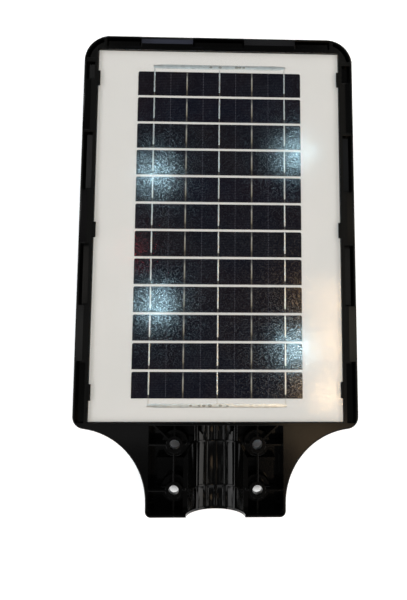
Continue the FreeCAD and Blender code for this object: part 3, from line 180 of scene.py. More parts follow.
def moulded(name, colour, roughness, grain=0.35 * MM, depth=0.01 * MM, dust=0.003):
    """Moulded plastic: a fine die texture, slow changes in gloss, and a trace of dust in patches."""
    f = Finish(name)
    slow = f.noise(40 * MM, 4.0)
    fine = f.noise(grain, 2.0)
    lighter = tuple(min(1.0, channel * 1.3 + dust) for channel in colour)
    f.feed(f.mix(f.spread(slow, 0.4, 0.75), colour, lighter), "Base Color")
    f.feed(f.spread(f.math("ADD", slow, f.math("MULTIPLY", fine, 0.5)), 0.4, 1.1,
                    roughness * 0.8, roughness * 1.25), "Roughness")
    f.feed(f.bump(fine, depth), "Normal")
    f.set(Specular_IOR_Level=0.5)
    return f.material


def sheet_metal(name, colour, roughness, stretch=(1.0, 1.0, 1.0)):
    """Plated or rolled metal with drawn-out grain and a slightly uneven tint."""
    f = Finish(name)
    grain = f.noise(0.5 * MM, 3.0, place=f.scaled_place(*stretch))
    slow = f.noise(6 * MM, 2.0)
    duller = tuple(channel * 0.78 for channel in colour)
    f.feed(f.mix(f.spread(slow, 0.3, 0.7), colour, duller), "Base Color")
    f.feed(f.spread(grain, 0.3, 0.7, roughness * 0.75, roughness * 1.3), "Roughness")
    f.feed(f.bump(grain, 0.004 * MM), "Normal")
    f.set(Metallic=1.0)
    return f.material


def soft_rubber(name, colour, roughness=0.6):
    """Rubber, foam or wire insulation: matt, finely pitted, paler in patches."""
    f = Finish(name)
    fine = f.noise(0.8 * MM, 4.0)
    slow = f.noise(15 * MM, 3.0)
    lighter = tuple(channel * 1.6 + 0.01 for channel in colour)
    f.feed(f.mix(f.spread(slow, 0.35, 0.7), colour, lighter), "Base Color")
    f.feed(f.spread(fine, 0.3, 0.7, roughness * 0.9, roughness * 1.15), "Roughness")
    f.feed(f.bump(fine, 0.03 * MM), "Normal")
    return f.material


TRACE_PITCH = 9 * MM
TRACE_OFFSET = 0.37
TRACE_SHARE = 0.06


def circuit_board(name, mask, trace):
    """Solder mask over copper: rectangular runs show through as a slightly lighter relief."""
    f = Finish(name)
    runs = f.node("ShaderNodeTexBrick")
    runs.offset = TRACE_OFFSET
    runs.inputs["Scale"].default_value = 1 / TRACE_PITCH
    runs.inputs["Mortar Size"].default_value = TRACE_SHARE
    for socket, shade in (("Color1", 0), ("Color2", 0), ("Mortar", 1)):
        runs.inputs[socket].default_value = (shade, shade, shade, 1)
    f.link(f.place, runs.inputs["Vector"])
    raised = runs.outputs["Color"]
    f.feed(f.mix(raised, mask, trace), "Base Color")
    f.feed(f.bump(raised, 0.03 * MM), "Normal")
    f.feed(f.spread(f.noise(3 * MM), 0.3, 0.7, 0.28, 0.42), "Roughness")
    return f.material


def clear_sheet(name, tint, roughness, ripple=0.0):
    """Clear moulded plastic; ripple is the depth of the slight waves in its surface."""
    f = Finish(name)
    f.set(Base_Color=tint, IOR=1.5, Transmission_Weight=1.0)
    f.feed(f.spread(f.noise(20 * MM), 0.3, 0.7, roughness, roughness * 1.8), "Roughness")
    if ripple:
        f.feed(f.bump(f.noise(6 * MM, 2.0), ripple), "Normal")
    return f.material


# ---------------------------------------------------------------------------------------- mesh helpers

def mesh_piece(name, body, materials, build, smooth_angle):
    """Makes a smooth-shaded mesh object from build(bm), gives it materials and lets it ride on a body."""
    bm = bmesh.new()
    build(bm)
    bmesh.ops.recalc_face_normals(bm, faces=bm.faces)
    mesh = bpy.data.meshes.new(name)
    bm.to_mesh(mesh)
    bm.free()
    for material in materials:
        mesh.materials.append(material)
    piece = bpy.data.objects.new(name, mesh)
    bpy.context.scene.collection.objects.link(piece)
    mesh.shade_smooth()
    mesh.set_sharp_from_angle(angle=math.radians(smooth_angle))
    even = piece.modifiers.new("even_normals", "WEIGHTED_NORMAL")
    even.keep_sharp = True
    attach(piece, body)
    return piece


def box_of(node):
    """Lowest and highest corner of a CAD node at rest."""
    low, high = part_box(node)
    return Vector(low), Vector(high)


def add_block(bm, low, high, bevel, segments):
    """A closed block with rounded edges."""
    verts = bmesh.ops.create_cube(bm, size=1.0)["verts"]
    middle = (low + high) / 2
    extent = high - low
    for v in verts:
        v.co = Vector((v.co.x * extent.x, v.co.y * extent.y, v.co.z * extent.z)) + middle
    edges = list({edge for v in verts for edge in v.link_edges})
    bmesh.ops.bevel(bm, geom=edges, offset=bevel, segments=segments, affect="EDGES", profile=0.5)


def bridge(bm, a, b, slot=0):
    """Faces between two closed rings of as many vertices."""
    for i in range(len(a)):
        j = (i + 1) % len(a)
        bm.faces.new((a[i], a[j], b[j], b[i])).material_index = slot


def add_lathe(bm, outline, centre, steps, slot=0):
    """A closed solid of revolution about the vertical through centre. Outline runs from axis to axis."""
    rings = []
    for radius, z in outline:
        if radius == 0:
            rings.append([bm.verts.new((centre[0], centre[1], z))])
        else:
            rings.append([bm.verts.new((centre[0] + radius * math.cos(2 * math.pi * i / steps),
                                        centre[1] + radius * math.sin(2 * math.pi * i / steps), z))
                          for i in range(steps)])
    for a, b in zip(rings, rings[1:]):
        if len(a) == len(b) == 1:
            continue
        for i in range(steps):
            j = (i + 1) % steps
            if len(a) == 1:
                corners = (a[0], b[i], b[j])
            elif len(b) == 1:
                corners = (a[i], a[j], b[0])
            else:
                corners = (a[i], a[j], b[j], b[i])
            bm.faces.new(corners).material_index = slot


# ------------------------------------------------------------------------------------------- solar panel

def islands(node):
    """Boxes of a CAD node's separate solids, as (low, high) pairs, worked out from its mesh."""
    mesh = nodes[node].data
    parent = list(range(len(mesh.vertices)))

    def root(i):
        while parent[i] != i:
            parent[i] = parent[parent[i]]
            i = parent[i]
        return i

    seen = {}
    for i, v in enumerate(mesh.vertices):
        key = tuple(round(c, 7) for c in v.co)
        if key in seen:
            parent[root(i)] = root(seen[key])
        seen[key] = i
    for edge in mesh.edges:
        a, b = edge.vertices
        parent[root(a)] = root(b)
    boxes = {}
    for i, v in enumerate(mesh.vertices):
        low, high = boxes.setdefault(root(i), (Vector(v.co), Vector(v.co)))
        for k in range(3):
            low[k] = min(low[k], v.co[k])
            high[k] = max(high[k], v.co[k])
    return sorted(boxes.values(), key=lambda pair: (-round(pair[0].y, 5), pair[0].x))


# A ribbon's section, as shares of its half width and its height.
RIBBON_SECTION = ((-1.0, 0.0), (-0.96, 0.55), (-0.6, 0.9), (0.0, 1.0), (0.6, 0.9), (0.96, 0.55), (1.0, 0.0))
RIBBON_STEP = 1.2 * MM
RIBBON_TIP = 0.72


def ribbon(bm, low, high, along, crown, wander):
    """A flat tinned ribbon: a crowned section carried along its length, with solder that wanders a little."""
    across = 1 - along
    steps = max(6, int((high[along] - low[along]) / RIBBON_STEP))
    half = (high[across] - low[across]) / 2
    middle = (high[across] + low[across]) / 2
    rings = []
    for step in range(steps + 1):
        share = step / steps
        end = min(1.0, RIBBON_TIP + 4.0 * min(share, 1 - share))
        drift = wander * (draw.random() - 0.5)
        lift = 1.0 - crown * draw.random()
        ring = []
        for side, height in RIBBON_SECTION:
            point = Vector((0, 0, low.z + (high.z - low.z) * height * lift))
            point[along] = low[along] + (high[along] - low[along]) * share
            point[across] = middle + half * side * end * (1 - wander / half) + drift
            ring.append(bm.verts.new(point))
        rings.append(ring)
    for a, b in zip(rings, rings[1:]):
        bridge(bm, a, b)
    bm.faces.new(rings[0])
    bm.faces.new(list(reversed(rings[-1])))


BLOB_STEPS = 18
BLOB_RINGS = 5
BLOB_FLATTEN = 0.7


def solder_blob(bm, centre, radius, height, slot):
    """A frozen drop of solder: a low dome whose edge wanders."""
    steps = BLOB_STEPS
    edge = [radius * (0.8 + 0.4 * draw.random()) for _ in range(steps)]
    edge = [(edge[i - 1] + edge[i] + edge[(i + 1) % steps]) / 3 for i in range(steps)]
    rows = []
    for ring in range(BLOB_RINGS):
        share = 1 - ring / BLOB_RINGS
        rise = height * math.sqrt(max(0.0, 1 - share ** 2))
        row = []
        for i in range(steps):
            angle = 2 * math.pi * i / steps
            row.append(bm.verts.new((centre[0] + edge[i] * share * math.cos(angle),
                                     centre[1] + edge[i] * share * math.sin(angle) * BLOB_FLATTEN,
                                     centre[2] + rise)))
        rows.append(row)
    top = bm.verts.new((centre[0], centre[1], centre[2] + height))
    for a, b in zip(rows, rows[1:]):
        bridge(bm, a, b, slot)
    for i in range(steps):
        bm.faces.new((rows[-1][i], rows[-1][(i + 1) % steps], top)).material_index = slot
    bm.faces.new(list(reversed(rows[0]))).material_index = slot


# -------------------------------------------------------------------------------------- material library

cells_low, cells_high = box_of("solar_cells")
CELL_MIDDLE = (cells_low.x + cells_high.x) / 2
CELL_WIDTH = cells_high.x - cells_low.x
BUSBAR = CELL_WIDTH / 5
first_strip, second_strip = islands("solar_cells")[:2]
STRIP = first_strip[1].y - first_strip[0].y
PITCH = first_strip[1].y - second_strip[1].y
FINGER = 1.6 * MM
GLINT = 0.75 * MM
# Half widths of the bare busbars, of those under the ribbons and of the dotted lines, and their soft edge.
BARE_HALF = 0.55 * MM
UNDER_HALF = 0.35 * MM
DOTTED_HALF = 0.16 * MM
EDGE_BLUR = 0.1 * MM

SILICON_BLUE = (0.0040, 0.0045, 0.0105)
SILICON_VIOLET = (0.0075, 0.0048, 0.0085)
SILICON_GREY = (0.0075, 0.0075, 0.0085)
SILICON_GRAIN = (0.016, 0.017, 0.024)
FINGER_SILVER = (0.16, 0.16, 0.19)
BUSBAR_SILVER = (0.40, 0.40, 0.38)
BUSBAR_BROWN = (0.24, 0.21, 0.16)
UNDER_SILVER = (0.17, 0.16, 0.14)
DOTTED_SILVER = (0.20, 0.20, 0.24)


def silicon():
    """Blue-black silicon with printed fingers, busbars, the faint dotted lines between, and tiny glints."""
    f = Finish("silicon")
    x = f.math("SUBTRACT", f.axis("X"), CELL_MIDDLE)
    down = f.math("SUBTRACT", cells_high.y, f.axis("Y"))
    in_row = f.math("MULTIPLY", f.math("FRACT", f.math("DIVIDE", down, PITCH)), PITCH / STRIP)

    def line(source, place, half, soft):
        away = f.math("ABSOLUTE", f.math("SUBTRACT", source, place))
        return f.spread(away, half, half + soft, 1.0, 0.0)

    row_number = f.math("FLOOR", f.math("DIVIDE", down, PITCH))
    tint = f.noise(70 * MM, 2.0, place=f.scaled_place(1.0, 1.0, 0.0))
    row_tint = f.node("ShaderNodeTexWhiteNoise", noise_dimensions="1D")
    f.link(row_number, row_tint.inputs["W"])
    grains = f.noise(0.45 * MM, 2.0)
    base = f.mix(f.spread(tint, 0.42, 0.6), SILICON_BLUE, SILICON_VIOLET)
    base = f.mix(f.math("MULTIPLY", row_tint.outputs["Value"], 0.5), base, SILICON_GREY)
    base = f.mix(f.spread(grains, 0.55, 0.8, 0.0, 0.5), base, SILICON_GRAIN)
    finger = f.math("ABSOLUTE", f.math("SUBTRACT", f.math("FRACT", f.math("DIVIDE", down, FINGER)), 0.5))
    fingers = f.spread(finger, 0.02, 0.09, 1.0, 0.0)
    worn = f.spread(f.noise(14 * MM, 3.0), 0.4, 0.62, 0.06, 0.20)
    base = f.mix(f.math("MULTIPLY", fingers, worn), base, FINGER_SILVER)
    side = f.math("ABSOLUTE", x)
    bare = line(side, BUSBAR, BARE_HALF, 0.12 * MM)
    shown = f.math("MULTIPLY", f.spread(in_row, 0.12, 0.3, 0.3, 1.0),
                   f.spread(in_row, 0.70, 0.82, 1.0, 0.3))
    warm = f.mix(f.spread(in_row, 0.1, 0.75), BUSBAR_SILVER, BUSBAR_BROWN)
    base = f.mix(f.math("MULTIPLY", bare, shown), base, warm)
    under = f.math("MAXIMUM", line(side, 0.0, UNDER_HALF, EDGE_BLUR),
                   line(side, 2 * BUSBAR, UNDER_HALF, EDGE_BLUR))
    base = f.mix(f.math("MULTIPLY", under, 0.6), base, UNDER_SILVER)
    between = f.math("MAXIMUM", line(side, BUSBAR / 2, DOTTED_HALF, EDGE_BLUR),
                     line(side, 1.5 * BUSBAR, DOTTED_HALF, EDGE_BLUR))
    dots = f.math("MULTIPLY", between, f.spread(finger, 0.25, 0.32, 1.0, 0.0))
    base = f.mix(f.math("MULTIPLY", dots, 0.42), base, DOTTED_SILVER)
    f.feed(base, "Base Color")
    red, green, _ = f.cells(GLINT)
    f.feed(f.spread(red, 0.45, 1.0, 0.0, 0.65), "Specular IOR Level")
    f.feed(f.spread(green, 0.0, 1.0, 0.12, 0.19), "Roughness")
    f.feed(f.bump(f.noise(0.6 * MM, 1.0), 0.006 * MM), "Normal")
    f.set(Specular_IOR_Level=0.18)
    return f.material


FACET = 1.15 * MM
# Light mirrored by a clear face: the share seen straight on, and how steeply it grows towards the edge.
HEAD_ON = 0.04
STEEPNESS = 5.0


def laminate():
    """Clear front film: straight-through sight with a grained, glossy face that scatters reflections."""
    f = Finish("front_film")
    f.tree.nodes.remove(f.shader)
    coarse = f.noise(0.8 * MM, 1.0)
    fine = f.noise(0.45 * MM, 2.0)
    grain = f.bump(f.math("ADD", coarse, f.math("MULTIPLY", fine, 0.5)), 0.014 * MM)
    sag = f.bump(f.noise(60 * MM, 2.0), 0.25 * MM, under=grain)
    mirror = f.node("ShaderNodeBsdfAnisotropic", distribution="BECKMANN")
    glint = f.spread(f.cells(FACET)[0], 0.25, 0.95, 0.12, 1.0)
    f.link(f.mix(glint, (0.10, 0.10, 0.10), (0.62, 0.62, 0.62)), mirror.inputs["Color"])
    mirror.inputs["Roughness"].default_value = 0.12
    f.link(sag, mirror.inputs["Normal"])
    open_way = f.node("ShaderNodeBsdfTransparent")
    edge_on = f.node("ShaderNodeLayerWeight")
    edge_on.inputs["Blend"].default_value = 0.5
    growth = f.math("POWER", edge_on.outputs["Facing"], STEEPNESS)
    share = f.math("MULTIPLY_ADD", growth, 1.0 - HEAD_ON, HEAD_ON)
    both = f.node("ShaderNodeMixShader")
    f.link(share, both.inputs[0])
    f.link(open_way.outputs[0], both.inputs[1])
    f.link(mirror.outputs[0], both.inputs[2])
    f.link(both.outputs[0], f.tree.nodes["Material Output"].inputs["Surface"])
    return f.material


def bonded_face():
    """The film's underside, which is bonded to the board: nothing is mirrored there."""
    f = Finish("film_underside")
    f.tree.nodes.remove(f.shader)
    clear = f.node("ShaderNodeBsdfTransparent")
    f.link(f.mix(f.noise(30 * MM), (1.0, 1.0, 1.0), (0.985, 0.985, 0.98)), clear.inputs["Color"])
    f.link(clear.outputs[0], f.tree.nodes["Material Output"].inputs["Surface"])
    return f.material


def backsheet():
    """White laminate board with a faint fibre grain and a few yellowed clouds."""
    f = Finish("backsheet")
    cloud = f.noise(120 * MM, 3.0)
    fibre = f.noise(0.7 * MM, 3.0, place=f.scaled_place(1.0, 3.0, 1.0))
    base = f.mix(f.spread(cloud, 0.35, 0.7), (0.825, 0.81, 0.795), (0.785, 0.78, 0.77))
    base = f.mix(f.spread(fibre, 0.5, 0.8, 0.0, 0.25), base, (0.72, 0.72, 0.71))
    f.feed(base, "Base Color")
    f.feed(f.spread(fibre, 0.3, 0.7, 0.42, 0.6), "Roughness")
    f.feed(f.bump(fibre, 0.01 * MM), "Normal")
    f.set(Specular_IOR_Level=0.1)
    return f.material


FINISHES = {
    "housing": moulded("housing_plastic", (0.0018, 0.0018, 0.0017), 0.12, grain=0.9 * MM, depth=0.006 * MM,
                       dust=0.0012),
    "cover": moulded("cover_plastic", (0.013, 0.013, 0.0135), 0.42, grain=0.9 * MM, depth=0.04 * MM),
    "silicon": silicon(),
    "film": laminate(),
    "backsheet": backsheet(),
    "tin": sheet_metal("tinned_ribbon", (0.74, 0.74, 0.73), 0.40),
    "solder": sheet_metal("solder_and_flux", (0.42, 0.41, 0.38), 0.45),
    "phosphor": moulded("phosphor", (0.78, 0.55, 0.07), 0.5, grain=0.3 * MM, dust=0.0),
    "seal": soft_rubber("seal_silicone", (0.012, 0.012, 0.012)),
    "foam": soft_rubber("adhesive_bead", (0.02, 0.02, 0.02), 0.5),
    "box_black": moulded("junction_plastic", (0.02, 0.02, 0.02), 0.45),
    "lens": clear_sheet("clear_lens", (0.96, 0.975, 0.98), roughness=0.04, ripple=0.05 * MM),
    "reflector": moulded("reflector_plastic", (0.80, 0.80, 0.79), 0.22, grain=0.8 * MM, dust=0.0),
    "lamp_board": circuit_board("lamp_board", (0.78, 0.79, 0.80), (0.70, 0.70, 0.66)),
    "screw": sheet_metal("screw_zinc", (0.60, 0.60, 0.58), 0.3, stretch=(1.0, 1.0, 4.0)),
    "grey": moulded("carrier_plastic", (0.055, 0.057, 0.06), 0.5),
    "wrap": moulded("battery_sleeve", (0.012, 0.075, 0.30), 0.28, grain=2 * MM, dust=0.0),
    "nickel": sheet_metal("nickel_strip", (0.66, 0.63, 0.57), 0.28, stretch=(12.0, 1.0, 1.0)),
    "strap": sheet_metal("strap_steel", (0.52, 0.52, 0.53), 0.38, stretch=(1.0, 14.0, 1.0)),
    "board": circuit_board("green_board", (0.006, 0.085, 0.03), (0.012, 0.14, 0.05)),
    "ferrite": moulded("ferrite_core", (0.03, 0.03, 0.032), 0.6, grain=0.8 * MM, depth=0.05 * MM),
    "sleeve": moulded("capacitor_sleeve", (0.012, 0.012, 0.03), 0.3, dust=0.0),
    "chip": moulded("chip_epoxy", (0.018, 0.018, 0.018), 0.55, grain=0.4 * MM),
    "ivory": moulded("socket_nylon", (0.62, 0.58, 0.45), 0.4, dust=0.0),
    "dome": moulded("dome_plastic", (0.70, 0.70, 0.67), 0.35, dust=0.0),
    "can": sheet_metal("sensor_can", (0.62, 0.62, 0.60), 0.25, stretch=(1.0, 1.0, 8.0)),
    "pipe": clear_sheet("light_pipe", (0.90, 0.97, 0.90), roughness=0.08),
    "button": moulded("button_plastic", (0.36, 0.012, 0.010), 0.3, dust=0.0),
    "bezel": moulded("bezel_plastic", (0.010, 0.010, 0.011), 0.2, dust=0.0),
    "spring": sheet_metal("spring_wire", (0.58, 0.58, 0.60), 0.25, stretch=(1.0, 1.0, 6.0)),
    "red_lead": soft_rubber("red_lead", (0.30, 0.008, 0.006), 0.45),
    "black_lead": soft_rubber("black_lead", (0.012, 0.012, 0.012), 0.45),
    "white_lead": soft_rubber("white_lead", (0.55, 0.55, 0.53), 0.45),
}

NODE_FINISH = {
    "housing": "housing", "panel_adhesive": "foam", "panel_backsheet": "backsheet",
    "panel_front_film": "film", "solar_cells": "silicon", "cell_ribbons": "tin", "bus_ribbons": "tin",
    "panel_junction_box": "box_black", "base_cover": "cover", "base_gasket": "seal", "base_screws": "screw",
    "lens_cover": "lens", "lens_gasket": "seal", "lens_screws": "screw", "reflector": "reflector",
    "led_board_left": "lamp_board", "led_board_right": "lamp_board", "led_chips": "reflector",
    "led_board_screws": "screw", "carrier_plate": "grey", "carrier_screws": "screw",
    "battery_cells": "wrap", "battery_cradle": "grey", "battery_tabs": "nickel", "battery_strap": "strap",
    "battery_strap_screws": "screw", "controller_board": "board", "controller_screws": "screw",
    "power_choke": "ferrite", "capacitors": "sleeve", "controller_chips": "chip",
    "controller_sockets": "ivory", "wire_plugs": "ivory", "sensor_dome": "dome", "motion_sensor": "can",
    "sensor_board": "board", "status_light_pipe": "pipe", "button_bezel": "bezel", "button_cap": "button",
    "switch_plunger": "chip", "button_switch": "chip", "button_board": "board", "button_spring": "spring",
    "sensor_and_button_screws": "screw", "panel_wires": "red_lead", "battery_wires": "red_lead",
    "led_wires": "white_lead", "sensor_wires": "black_lead", "button_wires": "black_lead",
}

# Every CAD node's mesh gets its finish, also where a piece made further down replaces the node.
for node, finish in NODE_FINISH.items():
    mesh = nodes[node].data
    for index in range(len(mesh.materials)):
        mesh.materials[index] = FINISHES[finish]


EDGE_ROUNDING = 0.22 * MM
SHARP_ANGLE = 32


def soften(node):
    """Rounds a CAD node's sharp edges a little with modifiers, as a moulding's are."""
    weld = nodes[node].modifiers.new("weld", "WELD")
    weld.merge_threshold = 0.001 * MM
    edges = nodes[node].modifiers.new("soft_edges", "BEVEL")
    edges.width = EDGE_ROUNDING
    edges.segments = 2
    edges.limit_method = "ANGLE"
    edges.angle_limit = math.radians(SHARP_ANGLE)
    edges.use_clamp_overlap = False
    edges.miter_outer = "MITER_ARC"


soften("housing")

# ------------------------------------------------------------------------------------------ panel pieces

# The film stands this far off the board's white face, over the cells.
FILM_GAP = 0.06 * MM


def build_film(bm):
    """The film as a closed sheet; its lower face has the bonded finish."""
    low, high = box_of("panel_front_film")
    low.z += FILM_GAP
    add_block(bm, low, high, bevel=0.25 * MM, segments=2)
    for face in bm.faces:
        face.material_index = int(face.normal.z < -0.9)


film = mesh_piece("front_film_sheet", "lamp", [FINISHES["film"], bonded_face()], build_film,
                  smooth_angle=40)
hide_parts("panel_front_film")

RIBBON_SPARE = 0.1


def build_cell_ribbons(bm):
    """The three ribbons on each strip of silicon, a little narrower than their CAD boxes."""
    for low, high in islands("cell_ribbons"):
        spare = RIBBON_SPARE * (high.x - low.x)
        low.x += spare
        high.x -= spare
        ribbon(bm, low, high, 1, crown=0.25, wander=0.12 * MM)


ribbons = mesh_piece("soldered_cell_ribbons", "lamp", [FINISHES["tin"]], build_cell_ribbons,
                     smooth_angle=60)
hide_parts("cell_ribbons")


BUS_WIDTH = (4.4 * MM, 3.8 * MM)
LEAD_HALF = 0.5 * MM
LEAD_LAP = 0.6 * MM
BLOB_HEIGHT = 0.16 * MM
BLOB_SINK = 0.05 * MM
# Solder on the far and on the near cross ribbon: place from the panel's middle and radius (mm).
BLOBS = (
    ((-8.5, 1.5), (0.5, 1.8), (16.5, 1.9), (19.5, 1.6), (23.5, 1.3)),
    ((-24.0, 1.3), (-16.0, 1.5), (-12.0, 1.7), (-6.5, 1.9), (3.0, 1.6), (9.5, 1.4)),
)


def build_bus_ribbons(bm):
    """The two cross ribbons on their short leads, with solder and flux where the cable is joined."""
    for number, (low, high) in enumerate(islands("bus_ribbons")):
        bar_low, bar_high = low.copy(), high.copy()
        if number == 0:
            bar_low.y = high.y - BUS_WIDTH[0]
            lead_low, lead_high = low.y, bar_low.y + LEAD_LAP
        else:
            bar_high.y = low.y + BUS_WIDTH[1]
            lead_low, lead_high = bar_high.y - LEAD_LAP, high.y
        ribbon(bm, bar_low, bar_high, 0, crown=0.35, wander=0.10 * MM)
        for column in (-1, 0, 1):
            x = CELL_MIDDLE + column * 2 * BUSBAR
            ribbon(bm, Vector((x - LEAD_HALF, lead_low, low.z)), Vector((x + LEAD_HALF, lead_high, high.z)),
                   1, crown=0.2, wander=0.05 * MM)
        middle = (bar_low.y + bar_high.y) / 2
        for x, radius in BLOBS[number]:
            centre = (CELL_MIDDLE + x * MM, middle + 0.4 * MM * (draw.random() - 0.5), high.z - BLOB_SINK)
            solder_blob(bm, centre, radius * MM, BLOB_HEIGHT, slot=1)


bus_bars = mesh_piece("soldered_bus_ribbons", "lamp", [FINISHES["tin"], FINISHES["solder"]],
                      build_bus_ribbons, smooth_angle=50)
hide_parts("bus_ribbons")

# ------------------------------------------------------------------------------------- underside pieces

PHOSPHOR_RISE = 0.25 * MM
PHOSPHOR_SINK = 0.05 * MM
PHOSPHOR_SHARE = 0.42


def build_emitters(bm):
    """Surface-mount lamp packages: a white body whose lower face holds a round phosphor dome."""
    for low, high in islands("led_chips"):
        body_low = low.copy()
        body_low.z += PHOSPHOR_RISE
        add_block(bm, body_low, high, bevel=0.15 * MM, segments=1)
        middle = (low + high) / 2
        radius = PHOSPHOR_SHARE * (high.y - low.y)
        outline = [(0, body_low.z + PHOSPHOR_SINK), (radius, body_low.z + PHOSPHOR_SINK)]
        for step in range(1, 4):
            angle = math.pi / 2 * step / 4
            outline.append((radius * math.cos(angle), body_low.z - (body_low.z - low.z) * math.sin(angle)))
        outline.append((0, low.z))
        add_lathe(bm, outline, (middle.x, middle.y), steps=16, slot=1)


emitters = mesh_piece("lamp_emitters", "lamp", [FINISHES["reflector"], FINISHES["phosphor"]],
                      build_emitters, smooth_angle=50)
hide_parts("led_chips")


HEAD_RADIUS = 2.8 * MM
SHANK_RADIUS = 0.5 * HEAD_RADIUS
# Both screw groups are driven from below: a head's foot-to-top height runs downwards.
HEAD_RISE = -0.62 * HEAD_RADIUS
DRIVE = 0.55
RECESS_RADIUS = DRIVE * HEAD_RADIUS * 0.9
RECESS_HALF = 0.14 * HEAD_RADIUS


def cross_head_screws(name, node):
    """Pan-head screws, driven from below, in place of a CAD group."""

    def build(bm):
        for low, high in islands(node):
            x, y = (low.x + high.x) / 2, (low.y + high.y) / 2
            head, foot = low.z, high.z
            seat = head - HEAD_RISE
            side = seat + 0.3 * HEAD_RISE
            outline = [(0, foot), (SHANK_RADIUS * 0.8, foot), (SHANK_RADIUS, foot - 0.4 * MM),
                       (SHANK_RADIUS, seat), (HEAD_RADIUS, seat), (HEAD_RADIUS, side)]
            for step in range(1, 6):
                angle = math.pi / 2 * step / 6
                outline.append((HEAD_RADIUS * (DRIVE + (1 - DRIVE) * math.cos(angle)),
                                side + 0.7 * HEAD_RISE * math.sin(angle)))
            outline += [(RECESS_RADIUS, head), (0, head - 0.5 * HEAD_RISE)]
            add_lathe(bm, outline, (x, y), steps=28)
            turn = draw.random() * math.pi
            for arm in range(4):
                add_wedge(bm, x, y, turn + arm * math.pi / 2,
                          head - 0.52 * HEAD_RISE, head - 0.02 * HEAD_RISE)

    piece = mesh_piece(name, "lamp", [FINISHES["screw"]], build, smooth_angle=35)
    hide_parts(node)


def add_wedge(bm, x, y, angle, low, high):
    """One raised land between two arms of a cross recess: a quarter sector inside the recess."""
    points = [(RECESS_HALF * 1.2, RECESS_HALF * 1.2)]
    for step in range(5):
        turn = math.radians(12 + 66 * step / 4)
        points.append((RECESS_RADIUS * math.cos(turn), RECESS_RADIUS * math.sin(turn)))
    cos, sin = math.cos(angle), math.sin(angle)
    lower, upper = ([bm.verts.new((x + px * cos - py * sin, y + px * sin + py * cos, z)) for px, py in points]
                    for z in (low, high))
    bridge(bm, lower, upper)
    bm.faces.new(list(reversed(lower)))
    bm.faces.new(upper)


cross_head_screws("cover_screws", "base_screws")
cross_head_screws("lens_cover_screws", "lens_screws")

DOME_RADIUS = 11.0 * MM
DOME_SKIN = 0.9 * MM
DOME_ROUND = 6.2 * MM
DOME_FLANGE = 1.2 * MM
DOME_STEPS = 40
DOME_ROWS = 5
FACET_EDGE = 0.14 * MM
FACET_DEPTH = 0.12 * MM


def build_dome(bm):
    """The sensor's window: a flanged dome with facets on its rounded end, each a small lens."""
    low, high = box_of("sensor_dome")
    centre = (low + high) / 2
    spring = low.z + DOME_ROUND
    flange = high.z - DOME_FLANGE
    inner = DOME_RADIUS - DOME_SKIN
    outline = [(high.x - centre.x, high.z), (high.x - centre.x, flange), (DOME_RADIUS, flange)]
    for row in range(DOME_ROWS):
        angle = math.pi / 2 * row / DOME_ROWS
        outline.append((DOME_RADIUS * math.cos(angle), spring - (spring - low.z) * math.sin(angle)))
    outline += [(0, low.z), (0, low.z + DOME_SKIN)]
    for row in range(DOME_ROWS - 1, -1, -1):
        angle = math.pi / 2 * row / DOME_ROWS
        outline.append((inner * math.cos(angle), spring - (spring - low.z - DOME_SKIN) * math.sin(angle)))
    outline.append((inner, high.z))
    outline.append(outline[0])
    add_lathe(bm, outline, (centre.x, centre.y), steps=DOME_STEPS)
    bmesh.ops.remove_doubles(bm, verts=bm.verts, dist=1e-7)
    middle = Vector((centre.x, centre.y, spring))
    curved = [f for f in bm.faces if f.calc_center_median().z < spring and len(f.verts) == 4
              and (f.calc_center_median() - middle).length > DOME_RADIUS * 0.94]
    bmesh.ops.inset_individual(bm, faces=curved, thickness=FACET_EDGE, depth=-FACET_DEPTH)


dome = mesh_piece("sensor_window", "lamp", [FINISHES["dome"]], build_dome, smooth_angle=25)
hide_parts("sensor_dome")

BUTTON_RADIUS = 6.0 * MM
DISH_RADIUS = 0.72 * BUTTON_RADIUS
DISH_DEPTH = 0.55 * MM
BUTTON_ROUND = 0.28 * BUTTON_RADIUS
FLANGE_HEIGHTS = (6.6 * MM, 7.6 * MM)
FLANGE_CHAMFER = 0.2 * MM
STEM_RADIUS = 2.2 * MM
STEM_CHAMFER = 0.3 * MM


def build_button(bm):
    """The push button: a rounded, slightly dished cap over its flange and stem."""
    low, high = box_of("button_cap")
    centre = (low + high) / 2
    outline = [(0, low.z + DISH_DEPTH)]
    for step in range(1, 6):
        share = step / 5
        outline.append((DISH_RADIUS * share, low.z + DISH_DEPTH * (1 - share ** 2)))
    for step in range(1, 7):
        angle = math.pi / 2 * step / 6
        outline.append((DISH_RADIUS + BUTTON_ROUND * math.sin(angle),
                        low.z + BUTTON_ROUND * (1 - math.cos(angle))))
    reach = high.x - centre.x
    cut = reach - FLANGE_CHAMFER
    foot, top = (low.z + height for height in FLANGE_HEIGHTS)
    outline += [(BUTTON_RADIUS, foot), (cut, foot), (reach, foot + FLANGE_CHAMFER),
                (reach, top - FLANGE_CHAMFER), (cut, top), (STEM_RADIUS, top),
                (STEM_RADIUS, high.z - STEM_CHAMFER), (STEM_RADIUS - STEM_CHAMFER, high.z), (0, high.z)]
    add_lathe(bm, outline, (centre.x, centre.y), steps=56)


button = mesh_piece("push_button", "power_button", [FINISHES["button"]], build_button, smooth_angle=30)
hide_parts("button_cap")

# Radius of the return spring's wire, and its turns.
SPRING_WIRE = 0.29 * MM
SPRING_TURNS = 5
SPRING_STEPS = 32 * SPRING_TURNS
SPRING_SIDES = 10
# How much closer the wire is wound at both ends.
SPRING_CLOSING = 0.25


